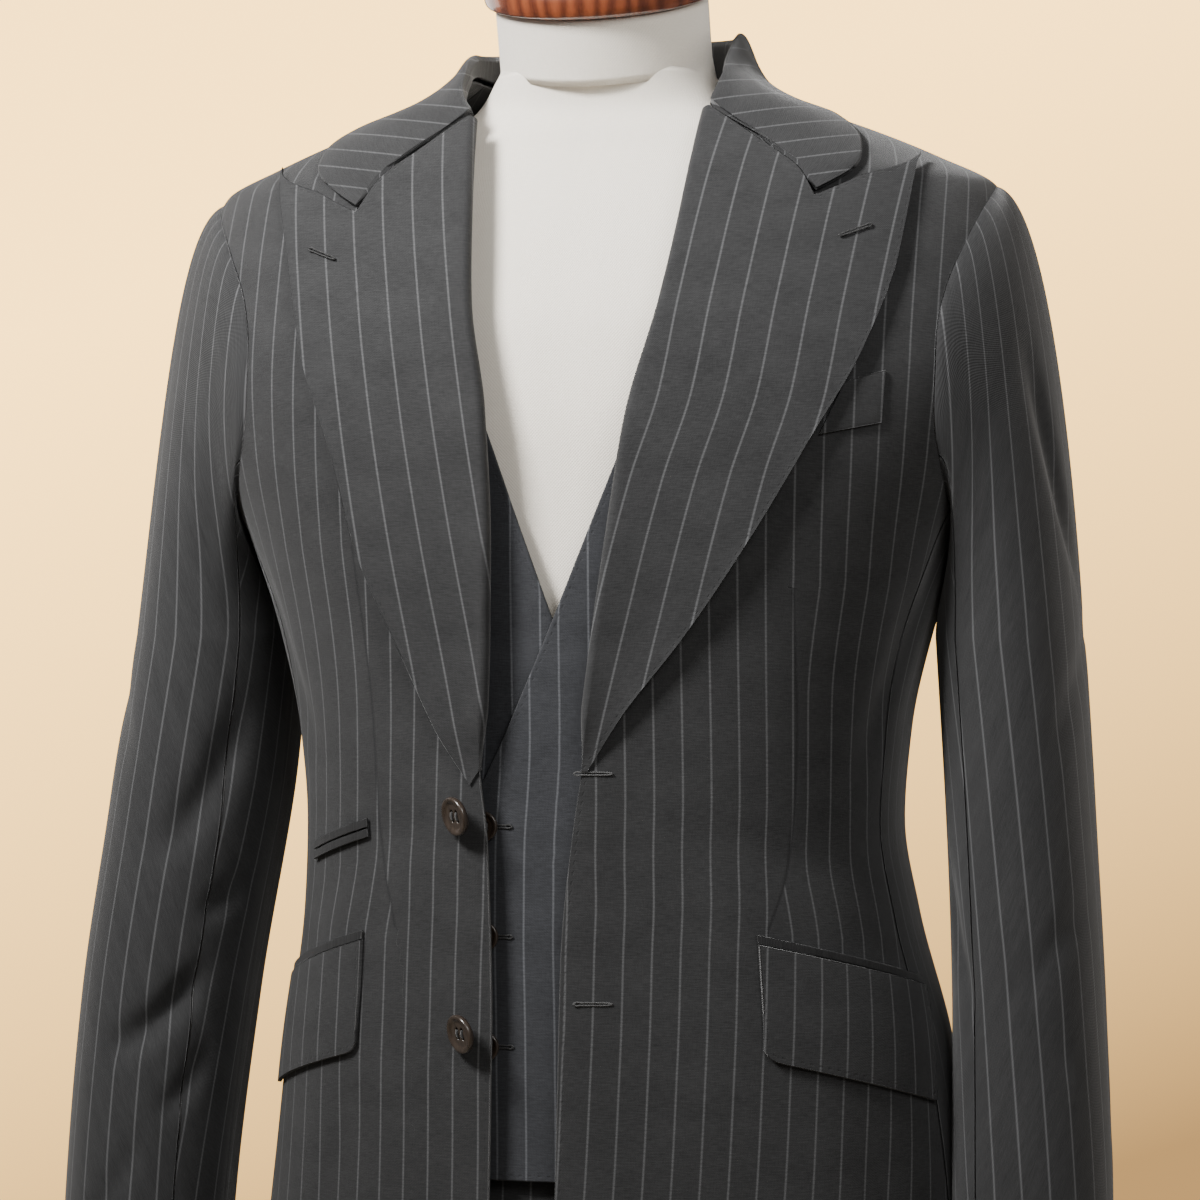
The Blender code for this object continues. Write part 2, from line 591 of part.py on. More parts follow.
def sleeve_grid(side, start, end, cells, inset):
    """Grid over part of a sleeve: a cap curved out of the armhole, then rings down to the cuff."""
    angle = np.linspace(start, end, cells + 1)
    edge = figure(armhole(side, angle))
    towards = np.stack([0 * angle, np.sin(angle), -np.cos(angle)], -1)
    edge = edge + np.array([HEAD_OUT, 0, 0]) + (inset + SEAM) * towards
    down = sleeve_ring(side, np.full_like(angle, SLEEVE_TOP), angle, inset)
    span = np.linalg.norm(down - edge, axis=1)[:, None]
    out = np.stack([0 * angle + 1, -HEAD_FORWARD * np.sin(angle), -HEAD_FALL * (3 + np.cos(angle))], -1)
    out /= np.linalg.norm(out, axis=1)[:, None]
    first = edge + out * span * HEAD_ROLL
    second = down + np.array([0, 0, HEAD_DROP]) * span
    t = np.linspace(0, 1, 8)[:, None, None]
    cap = (edge * (1 - t) ** 3 + 3 * first * t * (1 - t) ** 2 + 3 * second * t * t * (1 - t) + down * t ** 3)
    cap = clear_of_body(side, cap, inset)
    heights = np.linspace(SLEEVE_TOP, SLEEVE[side]["z"][0], 9)[1:, None]
    arm = sleeve_ring(side, heights + 0 * angle, angle + 0 * heights, inset)
    return np.concatenate([cap, arm])


def sleeve(name, side, start, end, cells, material):
    """One panel of a sleeve, mirrored to its side."""
    grids = [sleeve_grid(side, start, end, cells, inset) for inset in (0.0, CLOTH)]
    return wall(name, *[mirrored(side, grid) for grid in grids], material)


def mirrored(side, points):
    """Points of the wearer's left mirrored to the named side."""
    return points * np.array([SIGN[side], 1, 1])


def pocket_patch(side, front, back, drop, cells):
    """Flap hanging from a slanted pocket mouth, its lower front corner drawn back in a curve."""
    mouth = straight(front_place(side, *front), front_place(side, *back), cells)
    foot = straight(front_place(side, front[0] + FLAP_FLARE, front[1] - drop),
                    front_place(side, back[0] + 2 * FLAP_FLARE, back[1] - drop), cells)
    foot[0] += front_place(side, front[0] + 2 * FLAP_FLARE, front[1] - drop) - foot[0] + (0, FLAP_FLARE)
    v = np.linspace(0, 1, 5)[:, None, None]
    return foot[None] * (1 - v) + mouth[None] * v


def strip(side, front, back, low, high, cells):
    """Narrow strip along a slanted line, between two heights above it."""
    mouth = straight(front_place(side, *front), front_place(side, *back), cells)
    v = np.array([low, high])[:, None]
    return np.stack(np.broadcast_arrays(mouth[None, :, 0], mouth[None, :, 1] + v), -1)


def button(name, place, normal, radius, thickness, gap, material):
    """Turned button with a dished face, lying square to the cloth."""
    profile = ((0.80, 0.0), (1.0, 0.30), (1.0, 0.75), (0.84, 1.0), (0.66, 0.80))
    angle = np.linspace(0, 2 * math.pi, BUTTON_SIDES, endpoint=False)
    normal = np.asarray(normal, float) / np.linalg.norm(normal)
    across = np.cross(normal, (0, 0, 1.0))
    across /= np.linalg.norm(across)
    up = np.cross(across, normal)
    rings = []
    for share, height in profile:
        round_ = across * np.cos(angle)[:, None] + up * np.sin(angle)[:, None]
        rings.append(place + normal * (gap + thickness * height) + round_ * radius * share)
    return loft(name, np.array(rings), material)


def face_at(side, x, z, lift):
    """Point and outward normal of the front at a distance from the middle and a height."""
    places = turned(side, front_place(side, np.array([x, x + 0.002, x]), np.array([z, z, z + 0.002])))
    here, beside, above = figure(places, lift)
    normal = np.cross(beside - here, above - here) * SIGN[side]
    return here, normal / np.linalg.norm(normal)


def waistcoat_side(end):
    """Side seam of the waistcoat and its armhole, up to the strap at the given angle."""
    armpit = oval(math.pi, **WAISTCOAT_ARMHOLE)
    return join(straight((SHOULDER_TURN, WAISTCOAT_HEM), armpit, 6),
                oval(np.linspace(math.pi, end, 7), **WAISTCOAT_ARMHOLE))


def waistcoat_front(side):
    """Waistcoat front from its lapped edge and V neck to the side seam, armhole and strap."""
    rows = WAISTCOAT_EDGE[side]
    outer = waistcoat_side(0)
    vee = down_front(side, rows, np.linspace(rows["z"][0], rows["z"][-1], 10))
    neck = straight(vee[-1], (SHOULDER_TURN, STRAP_NECK), 3)
    inner = join(vee, neck)
    top = straight(inner[-1], outer[-1], WAISTCOAT_CELLS[side])
    bottom = straight(inner[0], outer[0], WAISTCOAT_CELLS[side])
    return trimmed(patch(inner, outer, bottom, top), right=HALF, top=HALF)


def waistcoat_back():
    """Half of the waistcoat's back, its rows from the strap and neck down to the hem."""
    outer = waistcoat_side(2 * math.pi)
    centre = straight((math.pi, WAISTCOAT_HEM), (math.pi, WAISTCOAT_NAPE), 12)
    neck = straight(centre[-1], (SHOULDER_TURN, STRAP_NECK), 3)
    top = join(neck, straight(neck[-1], outer[-1], 3))
    places = patch(centre, outer, straight(centre[0], outer[0], 6), top)
    return trimmed(places, left=-HALF, right=-HALF, top=HALF)[::-1, ::-1]


def trouser_panel(name, side, face, material):
    """Front (face 1) or back (face -1) of one leg: arcs of the hip above, half a leg section below."""
    t = np.linspace(0, 1, 9)[None, :]
    fork = CROTCH + (HIP_SPLIT - CROTCH) * FORK_SHARES
    z = np.concatenate([np.linspace(TROUSER_HEM, CROTCH, 9), fork,
                        np.linspace(HIP_SPLIT, WAIST_TOP - WAISTBAND, 4)])[:, None]
    share = np.clip((z - CROTCH) / (HIP_SPLIT - CROTCH), 0, 1)
    blend = np.sqrt(1 - (1 - share) ** 2)
    grids = []
    for inset in (0.0, CLOTH):
        hip_turn = t * math.pi / 2 if face > 0 else math.pi - t * math.pi / 2
        hip = figure(np.stack(np.broadcast_arrays(hip_turn, z), -1), -TROUSER_DEPTH - inset)
        around = -math.pi / 2 + t * math.pi
        s, c = np.sin(around), np.cos(around)
        power = 2 / LEG_POWER
        wide = along(LEG, "half_width", z) - inset
        deep = along(LEG, "half_depth", z) - inset
        leg_x = along(LEG, "x", z) + wide * np.sign(s) * np.abs(s) ** power
        leg_y = -face * deep * np.abs(c) ** power
        leg = np.stack(np.broadcast_arrays(leg_x, leg_y, z), -1)
        hip[..., 0] -= (1 - SIGN[side]) * along(FIGURE, "lean", z)
        grid = leg * (1 - blend[..., None]) + hip * blend[..., None]
        grid[..., 0] += HALF
        grid[..., 1] -= face * HALF
        grids.append(mirrored(side, grid))
    return wall(name, *grids, material)


def waistband(material):
    """Band round the waist above the panels, open by a seam's width at the front."""
    turn = np.linspace(0.003, 2 * math.pi - 0.003, 33)
    z = np.array([WAIST_TOP - WAISTBAND + SEAM, WAIST_TOP])
    places = np.stack(np.broadcast_arrays(turn[None, :], z[:, None]), -1)
    return wall("trousers_waistband", figure(places, -TROUSER_DEPTH), figure(places, -TROUSER_DEPTH - CLOTH),
                material)


def torso(material):
    """Linen torso with its neck, lofted through its sections and closed by the tilted neck plane."""
    turn = np.linspace(0, 2 * math.pi, FORM_SIDES, endpoint=False)[None, :]
    lower = np.linspace(TORSO_FLOOR + 0.004, 1.330, 9)
    z = np.concatenate([[TORSO_FLOOR], lower, TORSO_ROWS])[:, None]
    draw = np.where(z < TORSO_FLOOR + 0.002, 0.005, 0.0)
    x, y = ring(turn, along(TORSO, "half_width", z) - draw, along(TORSO, "front", z) - draw,
                along(TORSO, "back", z) - draw, FORM_POWER)
    body = np.stack(np.broadcast_arrays(x, y + along(TORSO, "y", z), z), -1)
    neck = [tilted_ring(turn[0], height, NECK_HALF_WIDTH, NECK_HALF_DEPTH) for height in NECK_RINGS]
    return loft("form_torso", np.concatenate([body, np.array(neck)]), material)


def tilted_ring(turn, height, half_width, half_depth):
    """Ring square to the neck's leaning axis, at a height along it."""
    axis = np.array([0, -math.sin(NECK_LEAN), math.cos(NECK_LEAN)])
    back = np.array([0, math.cos(NECK_LEAN), math.sin(NECK_LEAN)])
    flat = np.outer(half_width * np.sin(turn), (1, 0, 0)) - np.outer(half_depth * np.cos(turn), back)
    return NECK_ROOT + axis * height + flat


def neck_cap(material):
    """Turned wooden cap on the neck, with a small finial."""
    turn = np.linspace(0, 2 * math.pi, FORM_SIDES, endpoint=False)
    rings = [tilted_ring(turn, height, radius, radius * CAP_DEPTH) for height, radius in CAP_PROFILE]
    return loft("form_neck_cap", np.array(rings), material)


def turned_piece(name, profile, x, y, material, segments=32):
    """Solid of revolution about an upright axis, from a profile of radius and height, bottom first."""
    angle = np.linspace(0, 2 * math.pi, segments, endpoint=False)
    rings = [np.stack([x + radius * np.cos(angle), y + radius * np.sin(angle), np.full(segments, height)], -1)
             for radius, height in profile]
    return loft(name, np.array(rings), material)


def build():
    """Every piece of the suit, the form and the stand."""
    worsted = finish("charcoal_worsted", (0.030, 0.032, 0.038), 0.85)
    lining = finish("waistcoat_back_cloth", (0.020, 0.020, 0.024), 0.5)
    horn = finish("dark_horn", (0.035, 0.025, 0.020), 0.3)
    linen = finish("linen", (0.62, 0.56, 0.47), 0.9)
    wood = finish("varnished_wood", (0.20, 0.055, 0.025), 0.3)
    steel = finish("painted_steel", (0.03, 0.03, 0.03), 0.4, 1.0)
    for side in (LEFT, RIGHT):
        cloth(f"jacket_back_{side}", side, jacket_back(side), 0, CLOTH, worsted)
        cloth(f"jacket_side_{side}", side, jacket_side(side), 0, CLOTH, worsted)
        cloth(f"jacket_front_{side}", side, jacket_front(side), 0, CLOTH, worsted)
        places = lapel(side)
        raised(f"jacket_lapel_{side}", side, places, roll_lift(places), LAPEL_CLOTH, worsted)
        front, back = SLEEVE_SEAM_FRONT, SLEEVE_SEAM_BACK
        sleeve(f"top_sleeve_{side}", side, back - 2 * math.pi + 0.004, front - 0.004, 16, worsted)
        sleeve(f"under_sleeve_{side}", side, front + 0.004, back - 0.004, 7, worsted)
        pocket = HIP_POCKET[side]
        flap = pocket_patch(side, pocket["front"], pocket["back"], pocket["drop"], 6)
        raised(f"hip_flap_{side}", side, flap, REST, FLAP_CLOTH, worsted)
        jet = strip(side, pocket["front"], pocket["back"], SEAM, JET_HEIGHT, 5)
        raised(f"hip_jet_{side}", side, jet, REST, JET_CLOTH, worsted)
        waist_depth = WAISTCOAT_DEPTH
        panel = waistcoat_front(side)
        if side == RIGHT:
            share = np.linspace(1, 0, panel.shape[1])[None, :]
            waist_depth = WAISTCOAT_DEPTH + WAISTCOAT_UNDERLAP * np.clip(share * 2, 0, 1)
        cloth(f"waistcoat_front_{side}", side, panel, waist_depth, CLOTH, worsted)
        cloth(f"waistcoat_back_{side}", side, waistcoat_back(), WAISTCOAT_DEPTH, CLOTH, lining)
        trouser_panel(f"trouser_front_{side}", side, 1, worsted)
        trouser_panel(f"trouser_back_{side}", side, -1, worsted)
        cuff_buttons(side, horn)
    collar(worsted)
    for name, low, high in (("upper", TICKET_MOUTH, JET_HEIGHT), ("lower", -JET_HEIGHT, -TICKET_MOUTH)):
        jet = strip(RIGHT, TICKET_POCKET["front"], TICKET_POCKET["back"], low, high, 4)
        raised(f"ticket_jet_{name}", RIGHT, jet, REST, JET_CLOTH, worsted)
    raised("breast_welt", LEFT, breast_welt(), REST, FLAP_CLOTH, worsted)
    for number, (x, z) in enumerate(JACKET_BUTTON_PLACES, 1):
        place, normal = face_at(RIGHT, -x, z, 0.0)
        thick = BUTTON_THICK["jacket"]
        button(f"jacket_button_{number}", place, normal, JACKET_BUTTON, thick, JACKET_BUTTON_SEAT, horn)
    number = 0
    for z in WAISTCOAT_BUTTON_ROWS:
        for x in WAISTCOAT_BUTTON_COLUMNS:
            number += 1
            place, normal = face_at(LEFT, x, z, -WAISTCOAT_DEPTH)
            button(f"waistcoat_button_{number}", place, normal, WAISTCOAT_BUTTON, BUTTON_THICK["waistcoat"],
                   BUTTON_SEAT, horn)
    waistband(worsted)
    torso(linen)
    neck_cap(wood)
    plate = ((BASE_RADIUS - 0.003, 0.0), (BASE_RADIUS, 0.003), (BASE_RADIUS, 0.008),
             (BASE_RADIUS - 0.006, 0.011), (0.060, BASE_THICKNESS + 0.002))
    turned_piece("stand_base", plate, 0, 0, steel, 36)
    floor = BASE_THICKNESS + 0.002
    foot = ((0.034, floor + 0.0004), (0.034, floor + 0.004), (0.020, floor + 0.012), (0.0165, floor + 0.030),
            (0.0150, floor + 0.036))
    turned_piece("stand_foot", foot, POLE_X, 0, steel, 20)
    pole = ((POLE_RADIUS, floor + 0.0364), (POLE_RADIUS, TORSO_FLOOR - 0.0124))
    turned_piece("stand_pole", pole, POLE_X, 0, steel, 20)
    socket = ((0.018, TORSO_FLOOR - 0.012), (0.030, TORSO_FLOOR - 0.006), (0.034, TORSO_FLOOR - 0.0004))
    turned_piece("torso_socket", socket, POLE_X, 0, steel, 20)


def breast_welt():
    """Slanted breast welt; its front end follows the lapel's edge."""
    front, back = WELT["front_low"], WELT["back_low"]
    u = np.linspace(0, 1, 5)[None, :]
    v = np.linspace(0, 1, 3)[:, None]
    slant = WELT["slant"] * (1 - u) + WELT["back_slant"] * u
    x = front[0] + (back[0] - front[0]) * u + slant * v
    z = front[1] + (back[1] - front[1]) * u + WELT["rise"] * v
    return front_place(LEFT, x, z)


def cuff_buttons(side, material):
    """Row of small buttons up the back seam of a cuff."""
    for number in range(CUFF_BUTTONS):
        z = SLEEVE[side]["z"][0] + 0.028 + CUFF_BUTTON_STEP * number
        angle = np.array([SLEEVE_SEAM_BACK + 0.32, SLEEVE_SEAM_BACK + 0.34])
        here, beside = sleeve_ring(side, np.array([z, z]), angle, 0.0)
        above = sleeve_ring(side, np.array([z + 0.002]), angle[:1], 0.0)[0]
        normal = np.cross(beside - here, above - here)
        centre = np.array([along(SLEEVE[side], "x", z), along(SLEEVE[side], "y", z), z])
        normal *= np.sign(np.dot(normal, here - centre))
        place, normal = mirrored(side, here), mirrored(side, normal)
        button(f"cuff_button_{side}_{number + 1}", place, normal, CUFF_BUTTON, 0.0030, REST, material)


for thing in list(bpy.data.objects):
    bpy.data.objects.remove(thing, do_unlink=True)
SUIT = bpy.data.collections.new("Three_piece_suit")
bpy.context.scene.collection.children.link(SUIT)
build()
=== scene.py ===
"""The looks of a pinstriped three-piece suit, worn open by a limbless linen dress form.

Metres, +Z up. The wearer faces -Y and the wearer's left is +X. A place on the clothes is a turn about the
vertical, 0 at the front and pi at the back, and a height; a cut is a place in metres on the cloth itself,
across the grain and along it, and carries the weave and the stripes.
"""

import functools
import math

import bpy
import numpy as np
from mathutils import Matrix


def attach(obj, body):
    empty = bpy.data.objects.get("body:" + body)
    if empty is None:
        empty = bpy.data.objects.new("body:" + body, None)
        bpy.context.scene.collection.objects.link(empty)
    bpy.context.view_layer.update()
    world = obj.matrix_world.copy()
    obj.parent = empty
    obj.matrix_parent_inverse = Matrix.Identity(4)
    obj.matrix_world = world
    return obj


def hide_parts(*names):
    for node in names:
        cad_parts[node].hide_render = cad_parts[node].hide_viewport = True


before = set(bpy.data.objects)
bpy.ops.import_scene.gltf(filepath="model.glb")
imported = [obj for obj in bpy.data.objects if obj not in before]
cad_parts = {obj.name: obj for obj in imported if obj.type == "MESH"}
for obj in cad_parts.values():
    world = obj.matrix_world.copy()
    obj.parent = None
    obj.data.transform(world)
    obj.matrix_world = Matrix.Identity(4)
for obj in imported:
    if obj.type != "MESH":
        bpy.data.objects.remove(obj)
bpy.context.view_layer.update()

# Studio
# A pale round floor, a warm surround with painted light on it, large soft lights and a camera level with the
# chest. The camera stands 2.1 m from the figure's axis, a little towards the wearer's left.
AXIS_X = 0.011
YAW = math.radians(12.5)
CAMERA_DISTANCE = 2.1
CAMERA_HEIGHT = 1.22
CAMERA_ASIDE = -0.00406
LENS, FILM_WIDTH = 113.4, 36
FLOOR_RADIUS, FLOOR_SIDES, FLOOR_LEVEL = 2.6, 128, -0.0004
LIGHTS_AIM = (0, 0, 1.42)
# The surround the camera sees is painted light: from a shaded colour low and to the wearer's left to a lit
# colour high and to the wearer's right
SURROUND_SHADED, SURROUND_LIT = (0.74, 0.42, 0.15), (5.0, 3.0, 0.90)
SURROUND_ASIDE, SURROUND_MIDDLE, SURROUND_UP = -1.1, 0.38, 3.2
FELT_COLOUR, FELT_STRENGTH = (1.0, 0.98, 0.95, 1), 0.19


def aim(thing, position, target):
    """Places an object and turns its -Z axis towards a target: the turn is read off the view vector."""
    x, y, z = np.subtract(target, position)
    thing.location = position
    thing.rotation_euler = (math.atan2(math.hypot(x, y), -z), 0, math.atan2(-x, y))


camera_data = bpy.data.cameras.new("camera")
camera_data.lens = LENS
camera_data.sensor_width = FILM_WIDTH
camera = bpy.data.objects.new("camera", camera_data)
bpy.context.scene.collection.objects.link(camera)
camera_x = AXIS_X + CAMERA_DISTANCE * math.sin(YAW) + CAMERA_ASIDE * math.cos(YAW)
camera_y = -CAMERA_DISTANCE * math.cos(YAW) + CAMERA_ASIDE * math.sin(YAW)
aim(camera, (camera_x, camera_y, CAMERA_HEIGHT),
    (camera_x - math.sin(YAW), camera_y + math.cos(YAW), CAMERA_HEIGHT))
bpy.context.scene.camera = camera

for light_name, place, size, power, warmth, spread in (
    ("key", (-0.85, -1.15, 2.40), 0.50, 10.8, 0.99, 64),
    ("fill", (0.95, -1.45, 2.15), 0.9, 4.6, 0.99, 90),
    ("left_rim", (-1.7, 1.3, 2.1), 1.8, 20, 0.93, 160),
    ("right_rim", (1.7, 1.4, 2.1), 1.8, 20, 0.93, 160),
):
    light_data = bpy.data.lights.new(light_name, "AREA")
    light_data.size = size
    light_data.energy = power
    light_data.color = (1, warmth, warmth * warmth)
    light_data.spread = math.radians(spread)
    light = bpy.data.objects.new(light_name, light_data)
    bpy.context.scene.collection.objects.link(light)
    aim(light, place, LIGHTS_AIM)


def feed(tree, socket, value):
    """Links a node's output to a socket, or gives the socket a plain value; None leaves it as it is."""
    if isinstance(value, bpy.types.NodeSocket):
        tree.links.new(value, socket)
    elif value is not None:
        socket.default_value = value


def add(tree, kind, *values, **settings):
    """New node with its settings; its sockets, in order, get a value or a link. Returns its first output."""
    node = tree.nodes.new(kind)
    for name, value in settings.items():
        setattr(node, name, value)
    for socket, value in zip(node.inputs, values):
        feed(tree, socket, value)
    return node.outputs[0] if node.outputs else node


def maths(tree, operation, *values, clamp=False):
    """Math node of one operation on its values."""
    return add(tree, "ShaderNodeMath", *values, operation=operation, use_clamp=clamp)


def mixed(tree, factor, one, other):
    """Colour that goes from one to the other as the factor goes from 0 to 1."""
    node = add(tree, "ShaderNodeMix", factor, data_type="RGBA").node
    for socket, colour in zip(node.inputs[6:8], (one, other)):
        feed(tree, socket, (*colour, 1) if isinstance(colour, tuple) else colour)
    return node.outputs[2]


world = bpy.data.worlds.new("studio")
world.use_nodes = True
bpy.context.scene.world = world
sky = world.node_tree
sky.nodes.clear()
# painted light: the surround the camera sees grows brighter upwards and towards the wearer's right, as lamps
# would light a backdrop; all other rays see the even felt
direction = add(sky, "ShaderNodeSeparateXYZ", add(sky, "ShaderNodeTexCoord"))
aside = maths(sky, "MULTIPLY_ADD", direction.node.outputs[0], SURROUND_ASIDE, SURROUND_MIDDLE)
up_share = maths(sky, "MULTIPLY_ADD", direction.node.outputs[2], SURROUND_UP, aside, clamp=True)
painted_light_surround = mixed(sky, up_share, SURROUND_SHADED, SURROUND_LIT)
seen = add(sky, "ShaderNodeBackground", painted_light_surround, 1.0)
felt = add(sky, "ShaderNodeBackground", FELT_COLOUR, FELT_STRENGTH)
to_camera = add(sky, "ShaderNodeLightPath")
blend_sky = add(sky, "ShaderNodeMixShader", to_camera, felt, seen)
add(sky, "ShaderNodeOutputWorld", blend_sky)


def finished(name, roughness, **sockets):
    """New material: its node tree and its Principled shader, with values set on the shader's sockets."""
    material = bpy.data.materials.new(name)
    material.use_nodes = True
    shader = material.node_tree.nodes["Principled BSDF"]
    shader.inputs["Roughness"].default_value = roughness
    for socket, value in sockets.items():
        shader.inputs[socket.replace("_", " ")].default_value = value
    return material, material.node_tree, shader


def coloured(tree, shader, factor, one, other):
    """Feeds a mix of two colours to the shader's base colour."""
    tree.links.new(mixed(tree, factor, one, other), shader.inputs["Base Color"])


def embossed(tree, shader, height, distance):
    """Feeds a height through a Bump node to the shader's normal; distance is metres at height 1."""
    tree.links.new(add(tree, "ShaderNodeBump", 1.0, distance, None, height), shader.inputs["Normal"])


def object_place(tree):
    """Position on the object itself, in metres."""
    return add(tree, "ShaderNodeTexCoord").node.outputs["Object"]


def circle(sides):
    """Turns of a full circle, evenly spaced from 0."""
    return np.linspace(0, 2 * math.pi, sides, endpoint=False)


floor_finish, tree, shader = finished("pale_floor", 0.7)
speckle = add(tree, "ShaderNodeTexNoise", object_place(tree), None, 9.0)
coloured(tree, shader, speckle, (0.60, 0.52, 0.41), (0.66, 0.58, 0.47))
floor_turn = circle(FLOOR_SIDES)
floor_points = np.stack([FLOOR_RADIUS * np.cos(floor_turn), FLOOR_RADIUS * np.sin(floor_turn),
                         np.full(FLOOR_SIDES, FLOOR_LEVEL)], -1)
floor_mesh = bpy.data.meshes.new("floor")
floor_mesh.from_pydata(floor_points.tolist(), [], [list(range(FLOOR_SIDES))])
floor_mesh.materials.append(floor_finish)
floor = bpy.data.objects.new("floor", floor_mesh)
bpy.context.scene.collection.objects.link(floor)


# Stand
# A round steel plate with a socket, a pole that rises inside the wearer's left trouser leg, and the
# flange under the form. Turned and pressed steel, painted satin black, dusty and finely scuffed.
POLE_X = 0.092
PLATE = ((0.000, 0.0000), (0.176, 0.0000), (0.180, 0.0030), (0.180, 0.0080), (0.174, 0.0112),
         (0.060, 0.0140), (0.000, 0.0140))
FOOT = ((0.000, 0.0144), (0.034, 0.0144), (0.034, 0.0185), (0.020, 0.0260), (0.0165, 0.0440),
        (0.0150, 0.0500), (0.000, 0.0500))
POLE = ((0.000, 0.0504), (0.011, 0.0504), (0.011, 0.8836), (0.000, 0.8836))
FLANGE = ((0.000, 0.8840), (0.018, 0.8840), (0.030, 0.8900), (0.034, 0.8956), (0.000, 0.8956))


def cells(rows, columns, wrap=False, loop=False):
    """Corner indices of a grid's cells; wrap joins its last column to its first, loop its last row."""
    index = np.arange(rows * columns).reshape(rows, columns)
    if wrap:
        index = np.concatenate([index, index[:, :1]], 1)
    if loop:
        index = np.concatenate([index, index[:1]])
    return np.stack([index[:-1, :-1], index[:-1, 1:], index[1:, 1:], index[1:, :-1]], -1).reshape(-1, 4)


def enclosed(points, blocks):
    """Six times the volume within a surface: each face's corners as a fan of triple products."""
    fans = [(block[:, 0], block[:, k], block[:, k + 1])
            for block in blocks for k in range(1, block.shape[1] - 1)]
    return sum(np.einsum("ij,ij->", points[a], np.cross(points[b], points[c])) for a, b, c in fans)


def piece(name, points, blocks, material, nodes=(), slot=None, **layers):
    """Smooth mesh object at the origin, faces outwards, on the root body, in place of its CAD nodes."""
    points = np.asarray(points, float).reshape(-1, 3)
    if enclosed(points, blocks) < 0:
        blocks = [block[:, ::-1] for block in blocks]
    mesh = bpy.data.meshes.new(name)
    faces = [face for block in blocks for face in block.tolist()]
    mesh.from_pydata((points + (AXIS_X, 0, 0)).tolist(), [], faces)
    corner = np.concatenate([block.ravel() for block in blocks])
    for layer, values in layers.items():
        uv = mesh.uv_layers.new(name=layer)
        uv.data.foreach_set("uv", np.asarray(values, np.float32).reshape(-1, 2)[corner].ravel())
    mesh.materials.append(material)
    mesh.shade_smooth()
    made = bpy.data.objects.new(name, mesh)
    bpy.context.scene.collection.objects.link(made)
    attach(made, "root")
    if nodes:
        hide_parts(*nodes)
    return made


def softened(profile, cut=0.12):
    """Profile with each inner corner cut twice over, a share of the way along both its sides."""
    line = np.array(profile, float)
    for _ in range(2):
        ahead = line[:-1] * (1 - cut) + line[1:] * cut
        behind = line[:-1] * cut + line[1:] * (1 - cut)
        inner = np.stack([ahead, behind], 1).reshape(-1, line.shape[1])[1:-1]
        line = np.concatenate([line[:1], inner, line[-1:]])
    return line


def skinned(rings):
    """Points and faces of a closed skin over rings of points whose first and last are poles."""
    count = rings.shape[1]
    body = rings[1:-1].reshape(-1, 3)
    poles = np.stack([rings[0].mean(0), rings[-1].mean(0)])
    first = np.arange(count)
    last = first + len(body) - count
    low = np.stack([np.full(count, len(body)), np.roll(first, -1), first], -1)
    high = np.stack([np.full(count, len(body) + 1), last, np.roll(last, -1)], -1)
    side = cells(len(rings) - 2, count, wrap=True)
    return np.concatenate([body, poles]), [side, np.concatenate([low, high])]


def stacked(*parts):
    """Arrays spread to one shape and joined as the coordinates of points."""
    return np.stack(np.broadcast_arrays(*parts), -1)


def lathed(profile, x, sides=96):
    """Rings of a turned shape: each profile point's radius swept round an upright axis at its height."""
    line = softened(profile)
    radius, height = line[:, :1], line[:, 1:]
    return stacked(x + radius * np.cos(circle(sides)), radius * np.sin(circle(sides)), height)


painted_steel, tree, shader = finished("painted_steel", 0.42, Metallic=0.0, Coat_Weight=0.25)
place = object_place(tree)
dust = add(tree, "ShaderNodeTexNoise", place, None, 38.0, 6.0)
scuffs = maths(tree, "GREATER_THAN", add(tree, "ShaderNodeTexNoise", place, None, 160.0, 3.0), 0.69)
paint = mixed(tree, dust, (0.012, 0.012, 0.013), (0.030, 0.029, 0.028))
coloured(tree, shader, maths(tree, "MULTIPLY", scuffs, 0.5), paint, (0.12, 0.115, 0.11))
tree.links.new(maths(tree, "MULTIPLY_ADD", dust, 0.3, 0.28), shader.inputs["Roughness"])
embossed(tree, shader, dust, 0.0004)
for name, profile, x, node in (
    ("base_plate", PLATE, 0, "stand_base"),
    ("pole_foot", FOOT, POLE_X, "stand_foot"),
    ("pole", POLE, POLE_X, "stand_pole"),
    ("flange", FLANGE, POLE_X, "torso_socket"),
):
    piece(name, *skinned(lathed(profile, x)), painted_steel, [node], "painted_steel")


# Dress form
# A limbless torso of padded linen drawn over a moulded shell, with seams down its middle and sides, and a
# neck that leans forward under a turned, varnished wooden cap.
def table(columns, *rows):
    """Rows of numbers under named columns, as one array for each column."""
    return {name: np.array(values) for name, values in zip(columns.split(), zip(*rows))}


TORSO = table(
    "z half_width front back y",
    (0.896, 0.158, 0.100, 0.106, 0.000),
    (0.940, 0.161, 0.106, 0.107, 0.000),
    (1.000, 0.156, 0.108, 0.098, 0.000),
    (1.100, 0.144, 0.110, 0.084, 0.000),
    (1.200, 0.160, 0.117, 0.091, 0.000),
    (1.300, 0.174, 0.118, 0.105, 0.000),
    (1.360, 0.178, 0.110, 0.106, 0.000),
    (1.400, 0.178, 0.095, 0.101, 0.000),
    (1.430, 0.168, 0.080, 0.094, 0.000),
    (1.450, 0.150, 0.068, 0.087, 0.000),
    (1.470, 0.116, 0.057, 0.078, 0.000),
    (1.490, 0.074, 0.052, 0.060, 0.003),
    (1.510, 0.060, 0.055, 0.055, 0.002),
)
NECK_ROOT = np.array([0.0, 0.002, 1.506])
NECK_LEAN = math.radians(20)
NECK_RADII = (0.059, 0.056)
